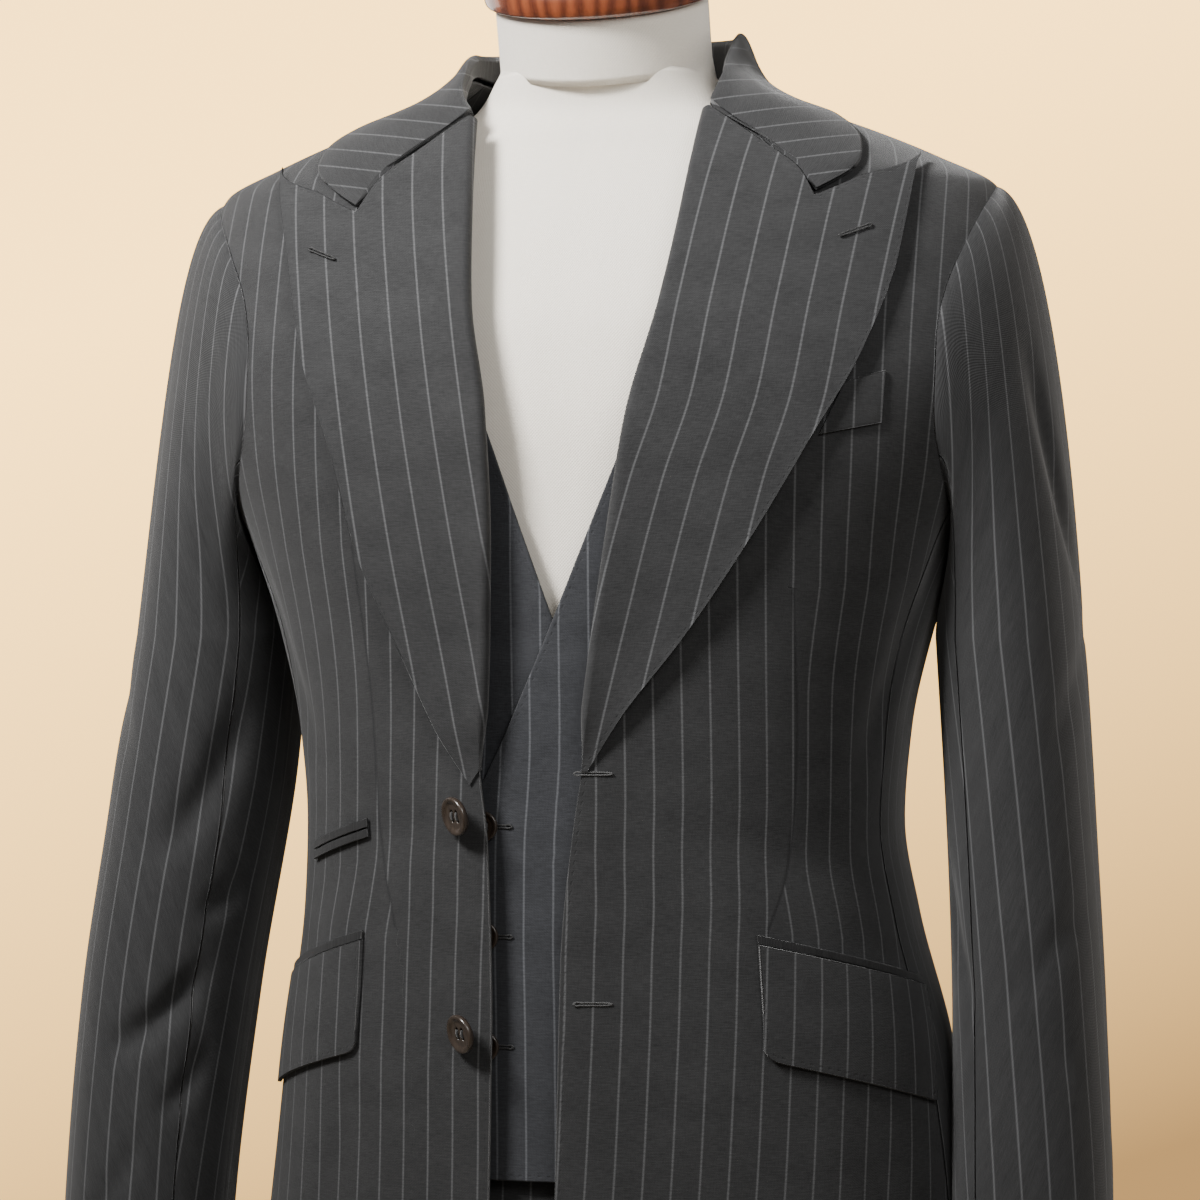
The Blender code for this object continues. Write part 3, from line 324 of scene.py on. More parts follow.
CAP = ((0.0483, 0.0), (0.0483, 0.0600), (0.0500, 0.0640), (0.0540, 0.0650), (0.0600, 0.0645),
       (0.0660, 0.0610), (0.0700, 0.0480), (0.0725, 0.0380), (0.0740, 0.0200), (0.0765, 0.0110),
       (0.0820, 0.0095), (0.0870, 0.0125), (0.0940, 0.0152), (0.1000, 0.0130), (0.1040, 0.0070),
       (0.1052, 0.0))
CAP_DEPTH = 0.955
FORM_SEAM, FORM_SEAM_TURN, FORM_RADIUS, FORM_CUT_RADIUS = 0.0008, 0.014, 0.12, 0.13


def along(rows, name, at, key="z"):
    """Smooth curve through one column: cubic pieces whose slopes are harmonic means, so none overshoots."""
    x, y = rows[key], rows[name]
    step = np.diff(x)
    secant = np.diff(y) / step
    product = secant[:-1] * secant[1:]
    total = secant[:-1] + secant[1:]
    slope = np.empty_like(y)
    slope[1:-1] = np.where(product > 0, 2 * product / np.where(total == 0, 1, total), 0)
    slope[0], slope[-1] = secant[0], secant[-1]
    at = np.clip(at, x[0], x[-1])
    i = np.clip(np.searchsorted(x, at, side="right") - 1, 0, len(step) - 1)
    t = (at - x[i]) / step[i]
    rise = y[i + 1] * t * t * (3 - 2 * t) + y[i] * (1 + 2 * t) * (1 - t) ** 2
    return rise + step[i] * (slope[i] * t * (1 - t) ** 2 + slope[i + 1] * t * t * (t - 1))


def signed_power(value, power):
    """A value's size raised to a power, with the value's own sign."""
    return np.sign(value) * np.abs(value) ** power


def ring(turn, half_width, front, back, power):
    """Point of a rounded section: its sine and cosine raised to two over the power."""
    s, c = np.sin(turn), np.cos(turn)
    return half_width * signed_power(s, 2 / power), -np.where(c > 0, front, back) * signed_power(c, 2 / power)


def neck_ring(turn, height, half_width, half_depth):
    """Ring square to the neck's leaning axis, at a height along it."""
    lean_s, lean_c = math.sin(NECK_LEAN), math.cos(NECK_LEAN)
    sizes = (height, half_width, half_depth)
    height, half_width, half_depth = (np.asarray(size, float)[..., None] for size in sizes)
    flat = -half_depth * np.cos(turn)
    return NECK_ROOT + stacked(half_width * np.sin(turn), flat * lean_c - height * lean_s,
                               flat * lean_s + height * lean_c)


form_turn = circle(160)
torso_z = np.concatenate([np.linspace(0.900, 1.430, 88), np.linspace(1.434, 1.510, 24)])[:, None]
x, y = ring(form_turn, *[along(TORSO, name, torso_z) for name in ("half_width", "front", "back")], 2.3)
torso_rings = stacked(x, y + along(TORSO, "y", torso_z), torso_z)
# a sewn seam is a shallow ditch: depth times a bell curve of the turn away from the seam
ditch = sum(np.exp(-(np.angle(np.exp(1j * (form_turn - at))) / FORM_SEAM_TURN) ** 2)
            for at in (0, math.pi / 2, math.pi, -math.pi / 2))
torso_rings[..., :2] *= (1 - FORM_SEAM * ditch / FORM_RADIUS)[None, :, None]
floor_rings = torso_rings[:1] * np.array([0.97, 0.97, 0]) + np.array([0, 0, 0.896])
neck_rings = neck_ring(form_turn, np.linspace(0.012, 0.0476, 9), *[np.full(9, r) for r in NECK_RADII])
rings = np.concatenate([floor_rings * np.array([0, 0, 1]), floor_rings, torso_rings, neck_rings,
                        neck_rings[-1:].mean(1, keepdims=True) + 0 * neck_rings[-1:]])


def grouped(name, inputs, outputs):
    """New node group with its sockets, given as name and kind; returns it, its source and its sink."""
    group = bpy.data.node_groups.new(name, "ShaderNodeTree")
    for in_out, sockets in (("INPUT", inputs), ("OUTPUT", outputs)):
        for socket, kind in sockets:
            group.interface.new_socket(socket, in_out=in_out, socket_type=f"NodeSocket{kind}")
    return group, group.nodes.new("NodeGroupInput"), group.nodes.new("NodeGroupOutput")


def stretched_noise(tree, place, stretch, detail):
    """Noise over places stretched by a factor along each axis."""
    scaled = add(tree, "ShaderNodeVectorMath", place, stretch, operation="MULTIPLY")
    return add(tree, "ShaderNodeTexNoise", scaled, None, 1.0, detail)


def plain_weave():
    """Node group: threads over and under each other, as a shade and a height, with slubs of longer noise."""
    group, source, sink = grouped("Plain weave", (("Cut", "Vector"), ("Threads per metre", "Float")),
                                  (("Shade", "Float"), ("Height", "Float")))
    calc = functools.partial(maths, group)
    cut = add(group, "ShaderNodeSeparateXYZ", source.outputs[0]).node
    wave = calc("MULTIPLY", source.outputs[1], math.pi)
    across, length = (calc("SINE", calc("MULTIPLY", way, wave)) for way in cut.outputs[:2])
    over = calc("MULTIPLY_ADD", calc("MULTIPLY", across, length), 0.5, 0.5)
    slubs = [stretched_noise(group, source.outputs[0], way, 2.0) for way in ((900, 90, 1), (110, 1100, 1))]
    slub = calc("MULTIPLY", calc("ADD", *slubs), 0.5)
    feed(group, sink.inputs[0], calc("ADD", calc("MULTIPLY", over, 0.30), calc("MULTIPLY", slub, 0.90)))
    feed(group, sink.inputs[1], calc("ADD", over, slub))
    return group


PLAIN_WEAVE = plain_weave()


def woven(tree, shader, threads, dark, light, distance):
    """Colours and embosses a finish with the plain weave, laid along the cloth's own cut."""
    cut = add(tree, "ShaderNodeUVMap", uv_map="cut")
    weave = add(tree, "ShaderNodeGroup", cut, threads, node_tree=PLAIN_WEAVE).node
    coloured(tree, shader, weave.outputs[0], dark, light)
    embossed(tree, shader, weave.outputs[1], distance)


linen, tree, shader = finished("linen", 0.88, Sheen_Weight=0.25)
woven(tree, shader, 1100.0, (0.80, 0.73, 0.62), (0.95, 0.89, 0.79), 0.00016)
points, blocks = skinned(rings)
linen_cut = np.stack([np.arctan2(points[:, 0], -points[:, 1]) * FORM_CUT_RADIUS, points[:, 2]], -1)
form = piece("linen_torso", points, blocks, linen, ["form_torso"], "linen", cut=linen_cut)

varnished, tree, shader = finished("varnished_wood", 0.26, Coat_Weight=0.7, Coat_Roughness=0.08)
place = object_place(tree)
bent = add(tree, "ShaderNodeMapping", place, (0.02, 0, 0), (0.3, 0.1, 0), (40, 40, 7))
rings_of_wood = add(tree, "ShaderNodeTexWave", bent, 0.9, 5.0, 3.0, 1.5)
drawn_out = add(tree, "ShaderNodeMapping", place, None, None, (900, 900, 90))
pores = add(tree, "ShaderNodeTexNoise", drawn_out, None, 1.0)
grain = maths(tree, "ADD", maths(tree, "MULTIPLY", rings_of_wood, 0.7), maths(tree, "MULTIPLY", pores, 0.4))
coloured(tree, shader, grain, (0.055, 0.011, 0.006), (0.24, 0.062, 0.022))
embossed(tree, shader, pores, 0.00008)
cap_line = softened([(radius, height) for height, radius in CAP], 0.2)
rings = neck_ring(form_turn, cap_line[:, 1], cap_line[:, 0], cap_line[:, 0] * CAP_DEPTH)
piece("neck_cap", *skinned(rings), varnished, ["form_neck_cap"], "varnished_wood")


# Trousers
# Two fronts, two backs and a waistband of pinstriped worsted, sewn up the sides and the inside of each
# leg, with a crease pressed down the middle of each panel.
FIGURE = table(
    "z half_width front back lean",
    (0.775, 0.205, 0.125, 0.138, 0.006),
    (0.850, 0.199, 0.126, 0.139, 0.007),
    (0.920, 0.192, 0.128, 0.136, 0.008),
    (0.980, 0.184, 0.130, 0.128, 0.007),
    (1.050, 0.170, 0.132, 0.113, 0.003),
    (1.100, 0.165, 0.133, 0.105, 0.000),
    (1.150, 0.169, 0.135, 0.105, 0.000),
    (1.200, 0.180, 0.138, 0.112, 0.000),
    (1.250, 0.197, 0.140, 0.120, 0.000),
    (1.300, 0.221, 0.138, 0.126, 0.000),
    (1.350, 0.2345, 0.130, 0.128, 0.000),
    (1.400, 0.231, 0.113, 0.122, 0.000),
    (1.430, 0.2235, 0.099, 0.114, 0.000),
    (1.445, 0.2165, 0.090, 0.108, 0.000),
    (1.460, 0.188, 0.080, 0.101, 0.000),
    (1.480, 0.140, 0.066, 0.091, 0.000),
    (1.490, 0.109, 0.059, 0.085, 0.000),
    (1.500, 0.087, 0.053, 0.079, 0.000),
    (1.512, 0.071, 0.049, 0.073, 0.000),
)
FIGURE_POWER = 2.4
LEG = table(
    "z x half_width half_depth",
    (0.045, 0.094, 0.050, 0.088),
    (0.250, 0.096, 0.055, 0.090),
    (0.480, 0.098, 0.065, 0.094),
    (0.600, 0.099, 0.077, 0.099),
    (0.700, 0.098, 0.088, 0.103),
    (0.775, 0.0955, 0.0950, 0.106),
)
LEG_POWER = 1.75
CLOTH = 0.002
HALF_SEAM = 0.00015
TROUSER_DEPTH = 0.015
WAIST_TOP, WAISTBAND = 1.070, 0.036
CROTCH, HIP_SPLIT, TROUSER_HEM = 0.775, 0.890, 0.045
SIGN = {"left": 1.0, "right": -1.0}
PITCH = 0.0149
TWILL = 0.00085
STRIPE_BAND = (0.0001, 0.0009)
PRICK_IN, PRICK_LINE, PRICK_STEP, PRICK_DASH = 0.0030, (0.0002, 0.0008), 0.0052, (0.12, 0.24)
# the near-black that the dart's ditch and the pricked stitches are darkened towards is painted shade
DITCH_WIDTH, DITCH_PAINTED_SHADE = 0.0009, (0.006, 0.006, 0.007)
PRESSED_HEIGHT, PRESSED_SPREAD = 0.0022, 0.05
LEG_GIRTH = 1.06
FOLD_STRENGTH, FOLD_BOW, FOLD_PAST, FOLD_FADE = 1.6, 0.06, 0.1, 0.45
BAND_SHIFT, BAND_RADIUS = 0.004, 0.135


def slope(rows, name, z):
    """How fast a column of a table changes with height: its difference over two millimetres."""
    low = np.maximum(z - 0.001, rows["z"][0])
    high = np.minimum(z + 0.001, rows["z"][-1])
    return (along(rows, name, high) - along(rows, name, low)) / (high - low)


def figure(place, lift=0.0, level=False):
    """Points of the jacket's face at places (turn, height), moved out along its normal, or levelly."""
    turn, z = np.broadcast_arrays(place[..., 0], place[..., 1])
    ahead = np.cos(turn) > 0
    wide, front, back = (along(FIGURE, name, z) for name in ("half_width", "front", "back"))
    deep = np.where(ahead, front, back)
    x, y = ring(turn, wide, front, back, FIGURE_POWER)
    across, through = np.abs(x / wide), np.abs(y / deep)
    growth = (across ** FIGURE_POWER * slope(FIGURE, "half_width", z) / wide + through ** FIGURE_POWER
              * np.where(ahead, slope(FIGURE, "front", z), slope(FIGURE, "back", z)) / deep)
    normal = np.stack([np.sign(x) * across ** (FIGURE_POWER - 1) / wide,
                       np.sign(y) * through ** (FIGURE_POWER - 1) / deep, 0 * z if level else -growth], -1)
    normal /= np.linalg.norm(normal, axis=-1, keepdims=True)
    face = np.stack([x + along(FIGURE, "lean", z), y, z], -1)
    return face + normal * np.asarray(lift)[..., None]


def eased(share):
    """Smooth step from 0 to 1."""
    share = np.clip(share, 0, 1)
    return share * share * (3 - 2 * share)


def creased(cut, creases):
    """Sum of soft folds: each is a bell across a slightly bowed line on the cloth, fading at its two ends."""
    total = np.zeros(cut.shape[:-1])
    for u0, v0, u1, v1, width, height in creases:
        line = np.array([u1 - u0, v1 - v0])
        reach = np.linalg.norm(line)
        share = ((cut - (u0, v0)) @ line) / reach ** 2
        away = ((cut[..., 0] - u0) * line[1] - (cut[..., 1] - v0) * line[0]) / reach
        away = away + FOLD_BOW * reach * np.sin(math.pi * np.clip(share, 0, 1))
        fade = eased((share + FOLD_PAST) / FOLD_FADE) * eased((1 + FOLD_PAST - share) / FOLD_FADE)
        total += FOLD_STRENGTH * height * np.exp(-(away / width) ** 2) * fade
    return total


def closer(grid):
    """Grid with two more rows and columns inside each of its edges, so that a rounded edge stays narrow."""
    for axis in (0, 1):
        count = grid.shape[axis]
        near = np.array([0, 0.14, 0.42])
        at = np.concatenate([near, np.arange(1, count - 1), count - 1 - near[::-1]])
        i = np.minimum(at.astype(int), count - 2)
        share = (at - i).reshape((-1, 1, 1) if axis == 0 else (1, -1, 1))
        grid = np.take(grid, i, axis) * (1 - share) + np.take(grid, i + 1, axis) * share
    return grid


def walled(outer, inner):
    """Points and faces of a cloth wall: its two faces, and an edge rounded through a middle line."""
    rows, columns = outer.shape[:2]
    index = np.arange(rows * columns).reshape(rows, columns)
    loop = np.concatenate([index[0, :-1], index[:-1, -1], index[-1, :0:-1], index[:0:-1, 0]])
    flat_outer, flat_inner = outer.reshape(-1, 3).copy(), inner.reshape(-1, 3).copy()
    middle = (flat_outer[loop] + flat_inner[loop]) / 2
    thick = np.linalg.norm(flat_outer[loop] - flat_inner[loop], axis=1)[:, None]
    within = np.concatenate([index[1, :-1], index[:-1, -2], index[-2, :0:-1], index[:0:-1, 1]])
    for flat in (flat_outer, flat_inner):
        pull = outer.reshape(-1, 3)[within] - outer.reshape(-1, 3)[loop]
        pull /= np.maximum(np.linalg.norm(pull, axis=1)[:, None], 1e-9)
        flat[loop] += pull * thick * 0.30
    count = rows * columns
    face = cells(rows, columns)
    rim = np.arange(len(loop)) + 2 * count
    after, rim_after = np.roll(loop, -1), np.roll(rim, -1)
    sides = [np.stack([loop, rim, rim_after, after], -1),
             np.stack([rim, loop + count, after + count, rim_after], -1)]
    points = np.concatenate([flat_outer, flat_inner, middle])
    return points, [face, face[:, ::-1] + count, *sides], loop


def panel(name, outer, inner, cut, material, node, slot, dart=None, edge=None):
    """Cloth panel: a wall that carries its cut, its dart and its finished edges as UV layers."""
    points, blocks, loop = walled(outer, inner)
    layers = {"cut": cut, "dart": dart, "edge": edge}
    for layer, values in layers.items():
        if values is None:
            values = np.zeros(outer.shape[:2] + (2,)) + (1.0, 0.0)
        values = np.asarray(values).reshape(-1, 2)
        layers[layer] = np.concatenate([values, values, values[loop]])
    made = piece(name, points, blocks, material, [node], slot, **layers)
    return made


def pinstriped():
    """Node group: charcoal worsted. A stripe is a narrow band every pitch across the grain; the ground is
    mottled by crosswise slubs; a dart shifts the stripes beyond it; a pricked stitch follows an edge."""
    group, source, sink = grouped(
        "Pinstriped worsted",
        (("Cut", "Vector"), ("Dart", "Vector"), ("Edge", "Vector"), ("Pitch", "Float"),
         ("Dark yarn", "Color"), ("Light yarn", "Color"), ("Stripe yarn", "Color")),
        (("Colour", "Color"), ("Height", "Float")),
    )
    calc = functools.partial(maths, group)
    ranged = functools.partial(add, group, "ShaderNodeMapRange")
    cut, dart, edge, pitch, dark, light, stripe_yarn = source.outputs[:7]
    cut, dart, edge = (add(group, "ShaderNodeSeparateXYZ", way).node.outputs for way in (cut, dart, edge))
    across = calc("ADD", cut[0], calc("MULTIPLY", calc("GREATER_THAN", dart[0], 0.0), dart[1]))
    part = calc("FRACT", calc("ADD", calc("DIVIDE", across, pitch), 0.5))
    away = calc("MULTIPLY", calc("ABSOLUTE", calc("SUBTRACT", part, 0.5)), pitch)
    band = ranged(away, *STRIPE_BAND, 1.0, 0.0, interpolation_type="SMOOTHSTEP")
    tick = calc("MULTIPLY_ADD", calc("SINE", calc("MULTIPLY", cut[1], 2600.0)), 0.10, 0.90)
    place = add(group, "ShaderNodeCombineXYZ", across, cut[1], 0.0)
    crosswise, lengthwise, cloudy = (
        stretched_noise(group, place, way, detail)
        for way, detail in (((190, 1300, 1), 3.0), ((1300, 240, 1), 2.0), ((34, 60, 1), 3.0))
    )
    twill = calc("SINE", calc("MULTIPLY", calc("ADD", across, cut[1]), 2 * math.pi / TWILL))
    ground = calc("ADD", calc("MULTIPLY", crosswise, 0.95), calc("MULTIPLY", lengthwise, 0.45))
    for noise, share in ((cloudy, 0.55), (twill, 0.05)):
        ground = calc("ADD", ground, calc("MULTIPLY", noise, share))
    ground = ranged(ground, 0.60, 1.36, 0.0, 1.0)
    ticked = calc("MULTIPLY", tick, calc("ADD", crosswise, 0.30))
    striped = mixed(group, calc("MULTIPLY", band, ticked, clamp=True), mixed(group, ground, dark, light),
                    stripe_yarn)
    from_line = calc("ABSOLUTE", calc("SUBTRACT", edge[0], PRICK_IN))
    on_line = ranged(from_line, *PRICK_LINE, 1.0, 0.0, interpolation_type="SMOOTHSTEP")
    dash = calc("ABSOLUTE", calc("SUBTRACT", calc("FRACT", calc("DIVIDE", edge[1], PRICK_STEP)), 0.5))
    dash = ranged(dash, *PRICK_DASH, 1.0, 0.0, interpolation_type="SMOOTHSTEP")
    prick = calc("MULTIPLY", on_line, dash)
    ditch_line = calc("DIVIDE", dart[0], DITCH_WIDTH)
    ditch = calc("EXPONENT", calc("MULTIPLY", calc("MULTIPLY", ditch_line, ditch_line), -1.0))
    # painted shade: the pricked stitch's dimples and the dart's ditch are darkened towards a near-black,
    # besides being sunk in the height
    shade = calc("MULTIPLY", calc("MAXIMUM", calc("MULTIPLY", prick, 0.25), ditch), 0.55)
    feed(group, sink.inputs[0], mixed(group, shade, striped, DITCH_PAINTED_SHADE))
    height = calc("ADD", calc("MULTIPLY", ground, 0.5), calc("MULTIPLY", twill, 0.25))
    sunk = calc("MULTIPLY", calc("MAXIMUM", prick, ditch), 0.8)
    feed(group, sink.inputs[1], calc("SUBTRACT", height, sunk))
    return group


PINSTRIPED = pinstriped()


def worsted(name, dark, light, stripe, pitch=PITCH):
    """Worsted finish: the pinstriped group in a soft Principled cloth."""
    material, tree, shader = finished(name, 0.82, Sheen_Weight=0.18, Sheen_Roughness=0.45,
                                      Specular_IOR_Level=0.28)
    layers = [add(tree, "ShaderNodeUVMap", uv_map=layer) for layer in ("cut", "dart", "edge")]
    yarns = [(*yarn, 1) for yarn in (dark, light, stripe)]
    cloth = add(tree, "ShaderNodeGroup", *layers, pitch, *yarns, node_tree=PINSTRIPED).node
    tree.links.new(cloth.outputs[0], shader.inputs["Base Color"])
    embossed(tree, shader, cloth.outputs[1], 0.00018)
    return material


CHARCOAL = ((0.0110, 0.0112, 0.0118), (0.034, 0.0343, 0.0352), (0.098, 0.0995, 0.1025))
trouser_worsted = worsted("trouser_worsted", *CHARCOAL)
TROUSER_CREASES = {
    "left": ((-0.085, 0.52, 0.060, 0.47, 0.012, -0.0022), (0.090, 0.50, -0.040, 0.44, 0.010, -0.0018),
             (-0.070, 0.13, 0.075, 0.10, 0.010, -0.0026), (0.080, 0.17, -0.060, 0.15, 0.009, -0.0018),
             (-0.105, 0.74, -0.020, 0.68, 0.012, -0.0020), (0.020, 0.33, 0.090, 0.27, 0.014, -0.0015)),
    "right": ((-0.080, 0.50, 0.070, 0.46, 0.013, -0.0020), (0.085, 0.55, -0.050, 0.51, 0.011, -0.0016),
              (-0.075, 0.11, 0.070, 0.14, 0.011, -0.0026), (0.070, 0.08, -0.050, 0.10, 0.008, -0.0016),
              (-0.100, 0.72, -0.010, 0.66, 0.011, -0.0018), (-0.090, 0.30, -0.020, 0.25, 0.013, -0.0014)),
}


def trouser_grid(side, front, inset):
    """Half a leg, from its inside to its outside: below the fork half a leg section, above it an arc of the
    hips, and between them a blend of the two; the pressed crease is a sharp low ridge down the middle."""
    t = np.linspace(0, 1, 61)[None, :]
    z = np.concatenate([np.linspace(TROUSER_HEM, CROTCH, 100), np.linspace(CROTCH, HIP_SPLIT, 25)[1:],
                        np.linspace(HIP_SPLIT, WAIST_TOP - WAISTBAND, 24)[1:]])[:, None]
    blend = np.sqrt(1 - (1 - np.clip((z - CROTCH) / (HIP_SPLIT - CROTCH), 0, 1)) ** 2)
    around = -math.pi / 2 + t * math.pi
    wide, deep = along(LEG, "half_width", z), along(LEG, "half_depth", z)
    cut = stacked(around * 0.5 * (wide + deep) * LEG_GIRTH, z)
    pressed = PRESSED_HEIGHT * np.exp(-np.abs(around) / PRESSED_SPREAD) * (1 - 0.6 * blend)
    folds = creased(cut, TROUSER_CREASES[side]) * np.cos(around) ** 2 * (1 - blend) + pressed
    hip_turn = t * math.pi / 2 if front > 0 else math.pi - t * math.pi / 2
    hip = figure(stacked(hip_turn, z), folds * (1 - blend) - TROUSER_DEPTH - inset)
    power = 2 / LEG_POWER
    leg = stacked(along(LEG, "x", z) + (wide - inset + folds) * signed_power(np.sin(around), power),
                  -front * (deep - inset + folds) * np.abs(np.cos(around)) ** power, z)
    hip[..., 0] -= (1 - SIGN[side]) * along(FIGURE, "lean", z)
    grid = leg * (1 - blend[..., None]) + hip * blend[..., None]
    grid += (HALF_SEAM, -front * HALF_SEAM, 0)
    return closer(grid * (SIGN[side], 1, 1)), closer(cut)


for side in ("left", "right"):
    for part, front in (("front", 1), ("back", -1)):
        outer, cut = trouser_grid(side, front, 0.0)
        inner, _ = trouser_grid(side, front, CLOTH)
        panel(f"{side}_trouser_{part}", outer, inner, cut, trouser_worsted, f"trouser_{part}_{side}",
              "trouser_worsted")
band_turn = np.linspace(0.003, 2 * math.pi - 0.003, 241)
band_z = np.linspace(WAIST_TOP - WAISTBAND + 2 * HALF_SEAM, WAIST_TOP, 9)
band_places = closer(stacked(band_turn, band_z[:, None]))
band_cut = np.stack([band_places[..., 1] + BAND_SHIFT, band_places[..., 0] * BAND_RADIUS], -1)
panel("waistband", figure(band_places, -TROUSER_DEPTH), figure(band_places, -TROUSER_DEPTH - CLOTH), band_cut,
      trouser_worsted, "trousers_waistband", "trouser_worsted")


# Waistcoat
# Double-breasted: the left front laps over the right and buttons in two columns. The fronts are the same
# cloth a shade bluer, the back a dark satin lining cloth. Sewn at the sides and the shoulder straps.
WAISTCOAT_DEPTH = 0.007
WAISTCOAT_UNDERLAP = 0.0037
SHOULDER_TURN = math.radians(94)
WAISTCOAT_HEM, WAISTCOAT_NAPE, STRAP_NECK = 0.914, 1.475, 1.4885
WAISTCOAT_ARMHOLE = {"middle": 1.340, "half_height": 0.123, "front": math.radians(50),
                     "back": math.radians(44)}
WAISTCOAT_EDGE = {
    "left": table("z x", (0.914, -0.055), (1.060, -0.055), (1.105, -0.048), (1.148, -0.0283),
                  (1.2086, -0.0010), (1.3274, 0.0469), (1.4250, 0.0860)),
    "right": table("z x", (0.914, -0.040), (1.060, -0.040), (1.105, -0.036), (1.148, -0.0200),
                   (1.2086, 0.0010), (1.3274, 0.0446), (1.4250, 0.0830)),
}
WAISTCOAT_SWAY = table("z x", (0.914, -0.0093), (0.970, -0.0085), (1.035, -0.0057), (1.094, -0.0009),
                       (1.150, 0.0026), (1.300, 0.0028))
# Folds as (round, up) to (round, up), width and height
WAISTCOAT_CREASES = ((0.010, 1.16, 0.090, 1.11, 0.010, 0.0007), (0.000, 1.02, 0.100, 1.00, 0.012, 0.0006),
                     (0.060, 1.30, 0.090, 1.20, 0.012, 0.0006))
WAISTCOAT_STRIPE = {"left": 0.0, "right": 0.0270}
WAISTCOAT_PITCH = 0.0162
FINE = 9


def front_place(side, x, z):
    """Place (turn, height) of the point of the front whose distance from the middle is x."""
    x, z = np.asarray(x, float), np.asarray(z, float)
    reach = x - SIGN[side] * along(FIGURE, "lean", z)
    ratio = np.clip(reach / along(FIGURE, "half_width", z), -1, 1)
    return np.stack([np.sign(ratio) * np.arcsin(np.abs(ratio) ** (FIGURE_POWER / 2)), z + 0 * x], -1)


def straight(start, end, count):
    """Evenly spaced places from start to end."""
    t = np.linspace(0, 1, count + 1)[:, None]
    return np.asarray(start) * (1 - t) + np.asarray(end) * t


def join(*stretches):
    """One edge from stretches that share their end points."""
    return np.concatenate([stretches[0]] + [stretch[1:] for stretch in stretches[1:]])


def oval(angle, middle, half_height, front, back):
    """Places round an armhole, an oval of turn and height: 0 at the shoulder, pi/2 at the front."""
    reach = np.where(np.sin(angle) > 0, front, back)
    return np.stack([SHOULDER_TURN - reach * np.sin(angle), middle + half_height * np.cos(angle)], -1)


def patch(left, right, bottom, top):
    """Grid of places between four edges: each pair of edges is blended, less the corners' blend."""
    u = np.linspace(0, 1, len(bottom))[None, :, None]
    v = np.linspace(0, 1, len(left))[:, None, None]
    corners = ((1 - u) * (1 - v) * left[0] + u * (1 - v) * right[0] + (1 - u) * v * left[-1]
               + u * v * right[-1])
    sides = (1 - u) * left[:, None] + u * right[:, None]
    return sides + (1 - v) * bottom[None] + v * top[None] - corners


def trimmed(places, left=0.0, right=0.0, top=0.0):
    """Grid of places drawn back from its left, right and top edges by half a seam, in metres."""
    half_width = along(FIGURE, "half_width", places[..., 1])
    u = np.linspace(0, 1, places.shape[1])[None, :]
    v = np.linspace(0, 1, places.shape[0])[:, None]
    turn = places[..., 0] + (left * (1 - u) - right * u) / np.minimum(half_width, 0.17)
    return np.stack([turn, places[..., 1] - top * v], -1)


def lengths(points, axis):
    """Distance run along one axis of a grid of points: the sum of its steps, from 0."""
    steps = np.linalg.norm(np.diff(points, axis=axis), axis=-1)
    return np.pad(np.cumsum(steps, axis), [(int(way == axis), 0) for way in range(steps.ndim)])


# Lengths over the figure: round it from the front's middle at each height, and up it at each turn
REACH_TURNS = np.linspace(0, math.pi, 361)
REACH_HEIGHTS = np.linspace(0.775, 1.512, 148)
reach_points = figure(np.stack(np.meshgrid(REACH_TURNS, REACH_HEIGHTS), -1))
ROUND, CLIMB = lengths(reach_points, 1), lengths(reach_points, 0)


def looked_up(grid, turn, z):
    """Value of a length table at a turn and a height, straight between its rows and columns."""
    step = REACH_HEIGHTS[1] - REACH_HEIGHTS[0]
    row = np.clip((z - REACH_HEIGHTS[0]) / step, 0, len(REACH_HEIGHTS) - 1.001)
    column = np.clip(turn / REACH_TURNS[1], 0, len(REACH_TURNS) - 1.001)
    i, j = row.astype(int), column.astype(int)
    a, b = row - i, column - j
    return ((1 - a) * ((1 - b) * grid[i, j] + b * grid[i, j + 1])
            + a * ((1 - b) * grid[i + 1, j] + b * grid[i + 1, j + 1]))


def cut_from(places, middle=0.0):
    """Cut of each place: length round the figure from the line at the middle's turn, and length up it."""
    turn, z = places[..., 0], places[..., 1]
    round_ = np.sign(turn) * looked_up(ROUND, np.abs(turn), z) - looked_up(ROUND, middle + 0 * z, z)
    return np.stack([round_, REACH_HEIGHTS[0] + looked_up(CLIMB, np.abs(turn), z)], -1)


def edge_of(points, left=False, right=False, bottom=False, top=False):
    """Distance of each point of a panel from its nearest finished edge, and the length along that edge."""
    over, up = lengths(points, 1), lengths(points, 0)
    choices = [(over, up, left), (over[:, -1:] - over, up, right),
               (up, over, bottom), (up[-1:] - up, over, top)]
    best = np.stack([np.full(over.shape, 1.0), over], -1)
    for away, run, wanted in choices:
        if wanted:
            nearer = away < best[..., 0]
            best = np.where(nearer[..., None], np.stack([away, run], -1), best)
    return best


def turned(side, places):
    """Places of the wearer's left mirrored to the named side."""
    return places * np.array([SIGN[side], 1.0])


waistcoat_worsted = worsted("waistcoat_worsted", (0.0153, 0.0162, 0.0188), (0.0435, 0.0453, 0.051),
                            (0.112, 0.1165, 0.1265), WAISTCOAT_PITCH)
satin, tree, shader = finished("back_satin", 0.38, Sheen_Weight=0.3, Specular_IOR_Level=0.5)
woven(tree, shader, 2400.0, (0.010, 0.010, 0.013), (0.030, 0.030, 0.038), 0.00005)


def waistcoat_side(end):
    """Side seam of the waistcoat and its armhole, up to the strap at the given angle."""
    armpit = oval(math.pi, **WAISTCOAT_ARMHOLE)
    return join(straight((SHOULDER_TURN, WAISTCOAT_HEM), armpit, 6 * FINE),
                oval(np.linspace(math.pi, end, 6 * FINE + 1), **WAISTCOAT_ARMHOLE))


